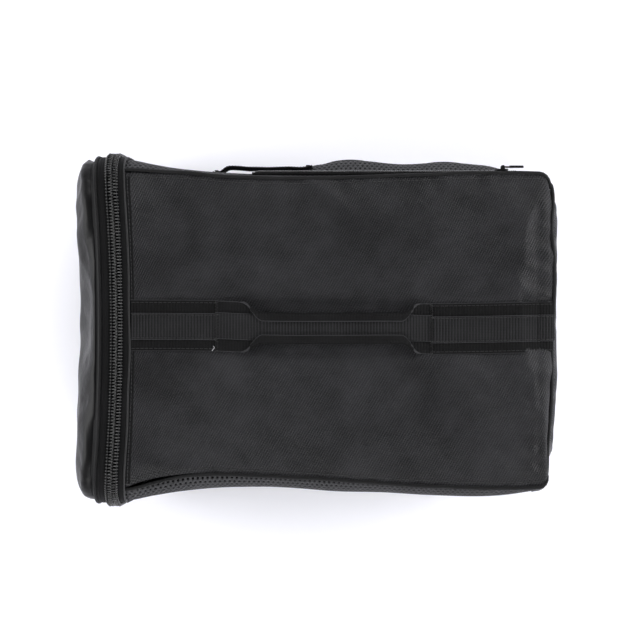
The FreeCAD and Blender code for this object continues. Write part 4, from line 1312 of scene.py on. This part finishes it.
def strap_centre(x, lift):
    """The centre line of a strap lying on the top panel, its upper face lifted off the cloth."""
    y = through(STRAP_DRIFT, x)
    path = top_point(x, top_share(x, y))
    tangent = np.gradient(path, axis=0)
    up = np.stack([-tangent[:, 2], 0 * x, tangent[:, 0]], 1)
    up /= np.linalg.norm(up, axis=1, keepdims=True)
    return path + up * lift


def ribs_along(along):
    """The height of a webbing's cross ribs at each place along it."""
    return RIB_HEIGHT * np.sin(math.tau * along / RIB_PITCH)


def flat_strap(name, centre, width, thickness, across=17, seed=0):
    """A flat webbing along a centre line, with cross ribs and softly rounded edges."""
    tangent = np.gradient(centre, axis=0)
    up = np.cross(tangent, [0.0, 1.0, 0.0])
    up /= np.linalg.norm(up, axis=1, keepdims=True)
    v = np.linspace(-1, 1, across)
    v = np.sign(v) * np.abs(v) ** 0.8
    along = lengths_along(centre)
    rib = ribs_along(along)
    edge = smooth_step(np.abs(v), 0.86, 1.0)
    raised = rib[:, None] * (1 - edge[None, :]) - 0.35 * thickness * edge[None, :]
    half = width / 2 * (1 + 0.008 * swell(along, along * 0, 0.05, 111 + seed))
    points = centre[:, None, :] + up[:, None, :] * raised[:, :, None]
    points[:, :, 1] += half[:, None] * v[None, :]
    uv = np.stack([along[:, None] + 0 * v[None, :], half[:, None] * v[None, :]], -1)
    return shell(name, points, uv, thickness)


def strap_rows(centre, offsets):
    """Stitch lines along a strap at the given distances from its centre."""
    rows = []
    for offset in offsets:
        row = centre[::4].copy()
        row[:, 1] += offset
        row[:, 2] += 0.1 * MM
        rows.append(row)
    return rows


def folded(x):
    """How far the grip's webbing is folded over at x: 0 flat, 1 fully folded."""
    rise = smooth_step(x, GRIP_LOW[0] - 20 * MM, GRIP_LOW[0] + 1 * MM)
    return rise * (1 - smooth_step(x, GRIP_HIGH[0] - 1 * MM, GRIP_HIGH[0] + 18 * MM))


HANDLE_DRIFT = [(-78, 3.2), (-60, 2.4), (-40, 1.6), (10, 1.3), (62, 1.4), (90, 0.8)]


def handle_floor(x):
    """The height of the handle webbing's lower face."""
    ends = top_point(np.array([TACK_FRONT_X, TACK_REAR_X]), np.array([0.03, 0.03]))[:, 2]
    ends = ends + 0.25 * MM
    up = smooth_step(x, TACK_FRONT_X, GRIP_LOW[0] + 6 * MM)
    down = smooth_step(x, GRIP_HIGH[0] - 6 * MM, TACK_REAR_X)
    arch = np.sin(np.clip((x - GRIP_LOW[0]) / (GRIP_HIGH[0] - GRIP_LOW[0]), 0, 1) * math.pi)
    z = ends[0] + (GRIP_FLOOR - ends[0]) * up + (ends[1] - GRIP_FLOOR) * down
    return z + 0.9 * MM * arch + 0.25 * MM * swell(x, x * 0, 0.045, 121)


def folded_webbing(name, x):
    """The handle's wide webbing between two places, its edges folded in over the inner strap."""
    q = np.linspace(-HANDLE_HALF, HANDLE_HALF, 61)
    f = folded(x)[:, None]
    q0 = HANDLE_HALF - (HANDLE_HALF - FOLD_Q) * f
    over = np.maximum(np.abs(q)[None, :] - q0, 0)
    angle = np.minimum(over / FOLD_R, math.pi)
    past = np.maximum(over - math.pi * FOLD_R, 0)
    y_mid = np.minimum(np.abs(q)[None, :], q0) + FOLD_R * np.sin(angle) - past
    z_mid = FOLD_R * (1 - np.cos(angle))
    sag = 0.25 * MM * swell(x, x * 0, 0.03, 122)[:, None] * (past > 0)
    sign = np.sign(q)[None, :]
    half = WIDE_THICK / 2
    rib = ribs_along(x)[:, None]
    y = sign * (y_mid - np.sin(angle) * half)
    z = z_mid + np.cos(angle) * half + half + sag + rib * (past == 0)
    points = np.stack(
        [x[:, None] + 0 * y, through(HANDLE_DRIFT, x)[:, None] + y, handle_floor(x)[:, None] + z],
        -1,
    )
    uv = np.stack([x[:, None] + 0 * q[None, :], q[None, :] + 0 * x[:, None]], -1)
    return shell(name, points, uv, WIDE_THICK)


def inner_strap(name, x):
    """The narrow webbing that lies in the handle's fold."""
    z = handle_floor(x) + WIDE_THICK + NARROW_THICK + 0.15 * MM
    y = through(HANDLE_DRIFT, x) + 0.3 * MM
    return flat_strap(name, np.stack([x, y, z], 1), NARROW, NARROW_THICK, seed=5)


TACK_PITCH = 0.55 * MM
TACK_THREAD = 0.32 * MM


def bar_tack(x, y, z, half, amplitude):
    """One bar tack: a dense zigzag of thread across a strap."""
    count = int(2 * half / TACK_PITCH)
    path = []
    for k in range(count + 1):
        side = 1 if k % 2 else -1
        path.append((x + side * amplitude, y - half + 2 * half * k / count, z))
    return tube_parts(path, TACK_THREAD, 6)


def make_straps(m):
    """The sewn stretches of both webbings and the free handle between them."""
    rows = []
    for part, start, end in (
        ("front", PANEL_START + 0.4 * MM, TACK_FRONT_X),
        ("rear", TACK_REAR_X, WRAP_X + WRAP_LENGTH - 1 * MM),
    ):
        x = spaced(start, end, 0.45 * MM)
        wide = strap_centre(x, WIDE_THICK + 0.2 * MM)
        narrow = strap_centre(x, WIDE_THICK + NARROW_THICK + 0.3 * MM)
        narrow[:, 1] -= 0.7 * MM
        lower = flat_strap("wide_webbing_" + part, wide, WIDE + 0.8 * MM, WIDE_THICK, 33)
        upper = flat_strap("narrow_webbing_" + part, narrow, NARROW, NARROW_THICK, seed=3)
        for strap, material, node in ((lower, "webbing", "wide_webbing"),
                                      (upper, "webbing_narrow", "narrow_webbing")):
            kept = [node] if part == "front" else []
            finish_piece(strap, m[material], replaced=kept)
        rows += strap_rows(wide, (-17.4 * MM, 17.4 * MM))
        rows += strap_rows(narrow, (-8.7 * MM, 8.7 * MM))
    sewn = stitches("webbing_stitches", rows, 3.4 * MM, 2.4 * MM, 0.24 * MM)
    finish_piece(sewn, m["thread_dark"])

    front_x = spaced(TACK_FRONT_X - 1 * MM, GRIP_LOW[0], 0.5 * MM)
    grip_x = spaced(GRIP_LOW[0], GRIP_HIGH[0], 0.5 * MM)
    rear_x = spaced(GRIP_HIGH[0], TACK_REAR_X + 1 * MM, 0.5 * MM)
    grip = folded_webbing("handle_grip_webbing", grip_x)
    finish_piece(grip, m["webbing_grip"], HANDLE, ["handle_grip"])
    inside = inner_strap("handle_inner_webbing", grip_x)
    finish_piece(inside, m["webbing_narrow"], HANDLE, ["handle_inner_strap"])
    for part, x, start, end in (
        ("front", front_x, TACK_FRONT_X + 3 * MM, GRIP_LOW[0] - 1 * MM),
        ("rear", rear_x, TACK_REAR_X - 2 * MM, GRIP_HIGH[0] + 1 * MM),
    ):
        for make, kind, material in (
            (folded_webbing, "webbing", "webbing_grip"),
            (inner_strap, "inner", "webbing_narrow"),
        ):
            leg = make("handle_leg_" + part + "_" + kind, x)
            finish_piece(leg, m[material], None, ["handle_leg_" + part])
            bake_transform(leg)

    parts = []
    for x, drift in ((TACK_FRONT_X - 0.4 * MM, 2.6), (TACK_REAR_X + 0.4 * MM, 0.4)):
        place = strap_centre(np.array([x - 1 * MM, x, x + 1 * MM]), 0.0)[1]
        z = place[2] + WIDE_THICK + NARROW_THICK + 0.75 * MM
        parts.append(bar_tack(x, drift * MM, z, 9.3 * MM, 1.3 * MM))
        for side in (-1, 1):
            y = drift * MM + side * 14.6 * MM
            parts.append(bar_tack(x, y, z - NARROW_THICK - 0.1 * MM, 4.0 * MM, 1.1 * MM))
    tacks = join_parts("handle_tack_threads", parts)
    finish_piece(tacks, m["thread"], replaced=["handle_bar_tacks"])
    start = strap_centre(np.array([-0.080, -0.079, -0.078]), WIDE_THICK + 0.4 * MM)[1]
    start[1] -= 15.5 * MM
    curl = [start + np.array(step) * MM for step in
            ((0, 0, 0), (0.6, -0.6, 0.5), (0.5, -1.6, 0.7), (-0.4, -2.4, 0.5), (-0.9, -3.4, 0.3))]
    end = tube("loose_thread_end", curl, 0.3 * MM, 6)
    finish_piece(end, m["thread_end"])


# ---- The far side: loop, pocket and sleeves -----------------------------------------------------
def upright_strap(name, path, z_low, z_high, thickness):
    """A webbing on edge: its outer face follows the path in (x, y), from z_low to z_high."""
    path = resample([(x * MM, y * MM, 0) for x, y in path], 0.45 * MM)
    along = lengths_along(path)
    v = np.linspace(0, 1, 15)
    z = z_high + (z_low - z_high) * v
    points = path[:, None, :] + np.zeros((1, len(v), 3))
    points[:, :, 2] = z[None, :] + 0.6 * MM * swell(along, along * 0, 0.05, 131)[:, None]
    rib = ribs_along(along)
    edge = smooth_step(np.abs(2 * v - 1), 0.86, 1)
    points[:, :, 1] += rib[:, None] * (1 - edge) - 0.35 * thickness * edge
    off = z - (z_low + z_high) / 2
    uv = np.stack([along[:, None] + 0 * v, off[None, :] + 0 * along[:, None]], -1)
    return shell(name, points, uv, thickness)


def arc_path(points):
    """A smooth curve through (x, y) points in millimetres, by Catmull-Rom spans."""
    p = np.array([points[0]] + list(points) + [points[-1]], float)
    out = []
    for i in range(1, len(p) - 2):
        for t in np.linspace(0, 1, 12, endpoint=False):
            out.append(0.5 * (2 * p[i] + (p[i + 1] - p[i - 1]) * t
                              + (2 * p[i - 1] - 5 * p[i] + 4 * p[i + 1] - p[i + 2]) * t**2
                              + (3 * p[i] - p[i - 1] - 3 * p[i + 1] + p[i + 2]) * t**3))
    return out + [p[-1]]


def side_wall_face(x, z):
    """The sleeve side's outer face at a place."""
    drop = spaced(0, WALL_HEIGHT, 1 * MM)
    points = wall_point(1, np.full_like(drop, x), drop)
    return float(np.interp(-z, -points[:, 2], points[:, 1]))


LOOP_Z = 0.150


def make_side_loop(m):
    """The webbing loop that stands off the sleeve side, sewn flat at both its ends."""
    low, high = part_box("side_loop")
    stand = [(-81.5, 1.6), (-76, 2.3), (-70, 6.4), (-62, 6.9), (-54, 6.4), (-46, 6.4),
             (-38, 6.0), (-30, 5.4), (-22, 4.2), (-14, 2.0), (-9, 1.1), (-4.5, 1.0)]
    path = arc_path([(x, side_wall_face(x * MM, LOOP_Z) / MM + off) for x, off in stand])
    loop = upright_strap("side_loop_webbing", path, low[2], high[2], LOOP_THICK)
    finish_piece(loop, m["webbing"], replaced=["side_loop"])
    parts = []
    for x, off in ((-78.5, 2.5), (-7.5, 1.5)):
        face = side_wall_face(x * MM, LOOP_Z) + off * MM
        zig = [((x + (1.2 if k % 2 else -1.2)) * MM, face,
                low[2] + 2 * MM + (high[2] - low[2] - 4 * MM) * k / 36) for k in range(37)]
        parts.append(tube_parts(zig, TACK_THREAD, 6))
    tacks = join_parts("side_loop_tack_threads", parts)
    finish_piece(tacks, m["thread"], replaced=["side_loop_tacks"])


POCKET_PITCH = 1.5 * MM
POCKET_ROD = 0.42 * MM


def make_pocket(m):
    """The small zip on the sleeve side: tapes, coils and their stitches."""
    low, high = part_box("pocket_zip_tape")
    coil_low, coil_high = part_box("pocket_zip_coil")
    middle = (coil_low[2] + coil_high[2]) / 2
    face = coil_low[1] + 0.25 * MM
    x = spaced(low[0], high[0], 4 * MM)
    parts = []
    for z_edge, z_chain in ((high[2], middle + 0.3 * MM), (low[2], middle - 0.3 * MM)):
        rings = []
        for place in x:
            wave = 0.25 * MM * float(swell(np.array(place), np.array(z_edge), 0.05, 141))
            back = low[1] - 1.2 * MM
            rings.append([(place, back, z_edge + wave), (place, face, z_edge + wave * 2),
                          (place, face + 0.2 * MM, (z_edge + z_chain) / 2),
                          (place, face, z_chain), (place, back, z_chain)])
        parts.append(sweep_parts(rings))
    tape = join_parts("pocket_zip_tape_cloth", parts)
    finish_piece(tape, m["tape"], replaced=["pocket_zip_tape"])
    rods = []
    for sign, shift in ((1, 0.0), (-1, 0.5)):
        for k in range(int((coil_high[0] - coil_low[0]) / POCKET_PITCH) - 1):
            place = coil_low[0] + (k + 0.4 + shift) * POCKET_PITCH
            loop = [(place, face + dy * MM, middle + sign * dz * MM)
                    for dz, dy in ((2.9, 0.2), (2.7, 1.0), (1.2, 1.5), (0.0, 1.3), (-0.5, 0.8))]
            rods.append(tube_parts(loop, POCKET_ROD, 5))
    coil = join_parts("pocket_zip_coil_loops", rods)
    finish_piece(coil, m["coil"], replaced=["pocket_zip_coil"])
    line = spaced(low[0] + 2 * MM, high[0] - 2 * MM, 4 * MM)
    rows = [np.stack([line, 0 * line + face + 0.35 * MM, 0 * line + z], 1)
            for z in (low[2] + 1.6 * MM, high[2] - 1.6 * MM)]
    sewn = stitches("pocket_stitches", rows, 2.8 * MM, 1.9 * MM, 0.24 * MM)
    finish_piece(sewn, m["thread_dark"])


def port_outline(turn, radius, rise):
    """(x, z) of an upright oval about the origin: a circle whose halves stand apart by rise."""
    lean = np.tanh(4 * np.sin(turn)) / math.tanh(4)
    return radius * np.cos(turn), radius * np.sin(turn) + rise * lean


SLEEVE_RADIUS = 36.4 * MM
SLEEVE_TAPER = 5.2 * MM
CUFF_BAND = 5.2 * MM
COLLAR_RADIUS = 37.2 * MM


def make_sleeves(m):
    """Both gathered arm sleeves with their collars and elasticated cuffs."""
    for part, (cx, cz, rise) in zip(("front", "rear"), PORTS):
        low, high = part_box("cuff_" + part)
        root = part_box("sleeve_" + part)
        y0, y1 = root[0][1] - 0.6 * MM, root[1][1] - 2.4 * MM
        cuff_y = (low[1] + high[1]) / 2 - 2 * MM
        turn = np.linspace(0, math.tau, 180, endpoint=False)
        share = np.linspace(0, 1, 81)
        grid_turn, grid_share = grid(turn, share)
        seed = 151 if part == "front" else 161
        ring_x, ring_z = np.cos(grid_turn) * 0.035, np.sin(grid_turn) * 0.045
        drift = swell(ring_x, ring_z + grid_share * 0.012, 0.03, seed)
        pleat = np.sin(math.tau * 3.2 * grid_share + 2.6 * drift)
        fine = swell(ring_x * 3, ring_z * 3 + grid_share * 0.02, 0.02, seed + 1)
        envelope = np.sin(math.pi * np.clip(grid_share * 1.02, 0, 1)) ** 0.5
        radius = SLEEVE_RADIUS - SLEEVE_TAPER * grid_share**1.5
        radius = radius + envelope * (1.3 * MM * pleat + 1.0 * MM * fine)
        x, z = port_outline(grid_turn, radius, rise)
        y = y0 + (y1 - y0) * grid_share
        points = np.stack([cx + x, y, cz + z], -1)
        uv = np.stack([grid_turn * 0.036, grid_share * 0.24], -1)
        sleeve = shell("sleeve_" + part + "_cloth", points, uv, SOFT_THICK, wrap=True, flip=True)
        face_outward(sleeve)
        finish_piece(sleeve, m["sleeve"], None, ["sleeve_" + part])
        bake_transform(sleeve)

        outer, inner = (high[0] - low[0]) / 2, (high[0] - low[0]) / 2 - CUFF_BAND
        rings = []
        for t in turn:
            ruche = 0.7 * MM * math.sin(31 * t + 2 * math.sin(3 * t)) + 0.3 * MM * math.sin(57 * t)
            section = []
            for k in np.linspace(0, math.tau, 18, endpoint=False):
                deep = ((high[1] - low[1]) / 2 - 1 * MM) * math.sin(k)
                wide = (outer - inner) / 2 * math.cos(k)
                pinch = 1 - 0.35 * math.exp(-((k / 0.5) ** 2))
                r = (outer + inner) / 2 + wide * pinch + ruche * abs(math.sin(k)) * 0.9
                x, z = port_outline(np.array(t), r, rise)
                section.append((cx + float(x), cuff_y + deep, cz + float(z)))
            rings.append(section)
        cuff = join_parts("cuff_" + part + "_cloth", [sweep_parts(rings, closed=True)])
        replaced = ["cuff_" + part, "cuff_elastic_" + part]
        finish_piece(cuff, m["sleeve"], part + "_cuff", replaced)

        rim = []
        for t in turn:
            x, z = port_outline(np.array(t), COLLAR_RADIUS, rise)
            face = side_wall_face(cx + float(x), cz + float(z))
            rim.append((cx + float(x), face + 0.3 * MM, cz + float(z)))
        collar = tube("port_collar_" + part, rim, COLLAR_CORD, 8, closed=True)
        kept = ["port_collars"] if part == "front" else []
        finish_piece(collar, m["piping"], replaced=kept)


# ---- Inside the mouth ---------------------------------------------------------------------------
FLAP_CORNER = 22 * MM


def make_flap(m):
    """The blackout flap behind the mouth: one hung sheet with a bound edge, and its hinge strip."""
    low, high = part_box("blackout_flap")
    y = spaced(low[1], high[1], 3 * MM)
    z = spaced(low[2], high[2], 3 * MM)
    grid_y, grid_z = grid(y, z)
    inner_edge = smooth_step(np.abs(grid_y) / high[1], 0.55, 0.85)
    free = (1 - inner_edge) * smooth_step(grid_z, 0.03, 0.07)
    x = high[0] - 0.15 * MM + free * 0.5 * MM * swell(grid_y, grid_z, 0.06, 171)
    over = np.maximum(grid_z - (high[2] - FLAP_CORNER), 0)
    reach = high[1] - FLAP_CORNER + np.sqrt(np.maximum(FLAP_CORNER**2 - over**2, 0))
    points = np.stack([x, grid_y / high[1] * reach, grid_z], -1)
    uv = np.stack([grid_y, grid_z], -1)
    flap = shell("blackout_flap_cloth", points, uv, SOFT_THICK)
    face_outward(flap)
    finish_piece(flap, m["liner_uv"], "inner_flap", ["blackout_flap"])
    top = points[:, -1, :]
    edge = np.concatenate([points[0, :, :], top[1:], points[-1, ::-1, :][1:]])
    edge[:, 0] -= 0.4 * MM
    bound = tube("blackout_flap_binding", resample(edge, 3 * MM), FLAP_CORD, 6)
    finish_piece(bound, m["piping"], "inner_flap")
    low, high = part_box("flap_hinge_strip")
    line = resample([(low[0] - 0.6 * MM, 0, high[2]), (high[0] + 0.9 * MM, 0, high[2])], 0.4 * MM)
    points = strip_points(line, spaced(low[1], high[1], 4 * MM))
    uv = points[:, :, :2].copy()
    strip = shell("flap_hinge_strip_cloth", points, uv, SOFT_THICK)
    finish_piece(strip, m["liner_uv"], None, ["flap_hinge_strip"])
    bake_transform(strip)


CAD_FINISH = {
    "liner": ["chamber_liner", "mouth_facing", "lid_liner", "flap_flange", "pocket_bag"],
    "board": ["base_board"],
    "touch": ["flap_hook_tape", "flap_loop_tape"],
    "enamel": ["main_slider", "main_pull_tab", "pocket_slider", "pocket_pull_tab"],
}


def finish_cad(m):
    """Materials for the CAD parts that stay: linings, board, touch tape and sliders."""
    for material, nodes in CAD_FINISH.items():
        for node in nodes:
            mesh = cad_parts[node].data
            mesh.materials.clear()
            mesh.materials.append(m[material])


# ---- Studio -------------------------------------------------------------------------------------
FLOOR_HALF = 60.0
LIGHT_TARGET = (0.0, 0.0, 0.15)
LIGHTS = [
    ("left_box", (-1.5, 0.1, 0.75), (0.9, 1.2), 24.0),
    ("near_box", (0.1, -1.5, 1.2), (1.6, 0.7), 30.0),
    ("far_box", (0.2, 1.5, 1.3), (1.4, 0.6), 22.0),
    ("right_box", (1.6, 0.2, 0.8), (0.6, 1.0), 25.0),
]
CAMERA_PLACE = (0.0019, 0.0076, 1.70)
CAMERA_LENS = 111.5
CAMERA_SENSOR = 36.0


def make_floor():
    """A plain pale floor under the bag that glows from within: faintly near the bag, which lightens
    the bag's shadow on it as painted light, and strongly far away so that it stays pale there.
    """
    verts = [(x * FLOOR_HALF, y * FLOOR_HALF, 0) for x, y in ((-1, -1), (1, -1), (1, 1), (-1, 1))]
    floor = add_mesh("studio_floor", verts, [(0, 1, 2, 3)], smooth=False)
    n = Nodes("studio_paper")
    grain = n.noise(n.cloth("Object"), 900.0, 3.0)
    away = n.add("ShaderNodeVectorMath", operation="LENGTH")
    n.link(n.cloth("Object"), away.inputs[0])
    # Emission rises from 0.1 near the bag to 0.95 far away: painted light that thins the bag's
    # shadow and keeps the far floor pale.
    n.surface(Base_Color=n.mix(grain, grey(0.90), grey(0.93)), Roughness=0.9,
              Specular_IOR_Level=0.1, Emission_Color=(1.0, 1.0, 1.0, 1.0),
              Emission_Strength=n.ramp(away.outputs["Value"], 0.6, 2.6, 0.1, 0.95))
    floor.data.materials.append(n.material)


def add_area(name, place, size, power):
    """A soft oblong light aimed at the middle of the bag."""
    light = bpy.data.lights.new(name, "AREA")
    light.shape = "RECTANGLE"
    light.size, light.size_y = size
    light.energy = power
    obj = bpy.data.objects.new(name, light)
    bpy.context.scene.collection.objects.link(obj)
    obj.location = place
    aim = [t - p for t, p in zip(LIGHT_TARGET, place)]
    flat = math.hypot(aim[0], aim[1])
    obj.rotation_euler = (math.atan2(flat, -aim[2]), 0, math.atan2(-aim[0], aim[1]) if flat else 0)


def make_studio():
    """A nearly dark world, dimmer still overhead, with four soft boxes and the camera."""
    world = bpy.data.worlds.new("studio")
    bpy.context.scene.world = world
    world.use_nodes = True
    tree = world.node_tree
    background = tree.nodes["Background"]
    place = tree.nodes.new("ShaderNodeTexCoord")
    split = tree.nodes.new("ShaderNodeSeparateXYZ")
    rise = tree.nodes.new("ShaderNodeMapRange")
    for socket, value in zip(RAMP_SOCKETS, (0.25, 0.8, 1.05, 0.14)):
        rise.inputs[socket].default_value = value
    tree.links.new(place.outputs["Generated"], split.inputs[0])
    tree.links.new(split.outputs[2], rise.inputs["Value"])
    tree.links.new(rise.outputs["Result"], background.inputs["Strength"])
    for name, spot, size, power in LIGHTS:
        add_area(name, spot, size, power)
    camera_data = bpy.data.cameras.new("camera")
    camera_data.lens = CAMERA_LENS
    camera_data.sensor_width = CAMERA_SENSOR
    camera = bpy.data.objects.new("camera", camera_data)
    bpy.context.scene.collection.objects.link(camera)
    camera.location = CAMERA_PLACE
    camera.rotation_euler = (0.0, 0.0, 0.0)
    bpy.context.scene.camera = camera
    bpy.context.scene.view_settings.view_transform = "Standard"


def main():
    m = make_materials()
    for make in (make_top_panel, make_side_walls, make_edge_piping, make_end_piping,
                 make_end_border, make_end_pad, make_base, make_rim, make_lid, make_sill,
                 make_straps, make_side_loop, make_pocket, make_sleeves, make_flap, finish_cad):
        make(m)
    make_floor()
    make_studio()


main()
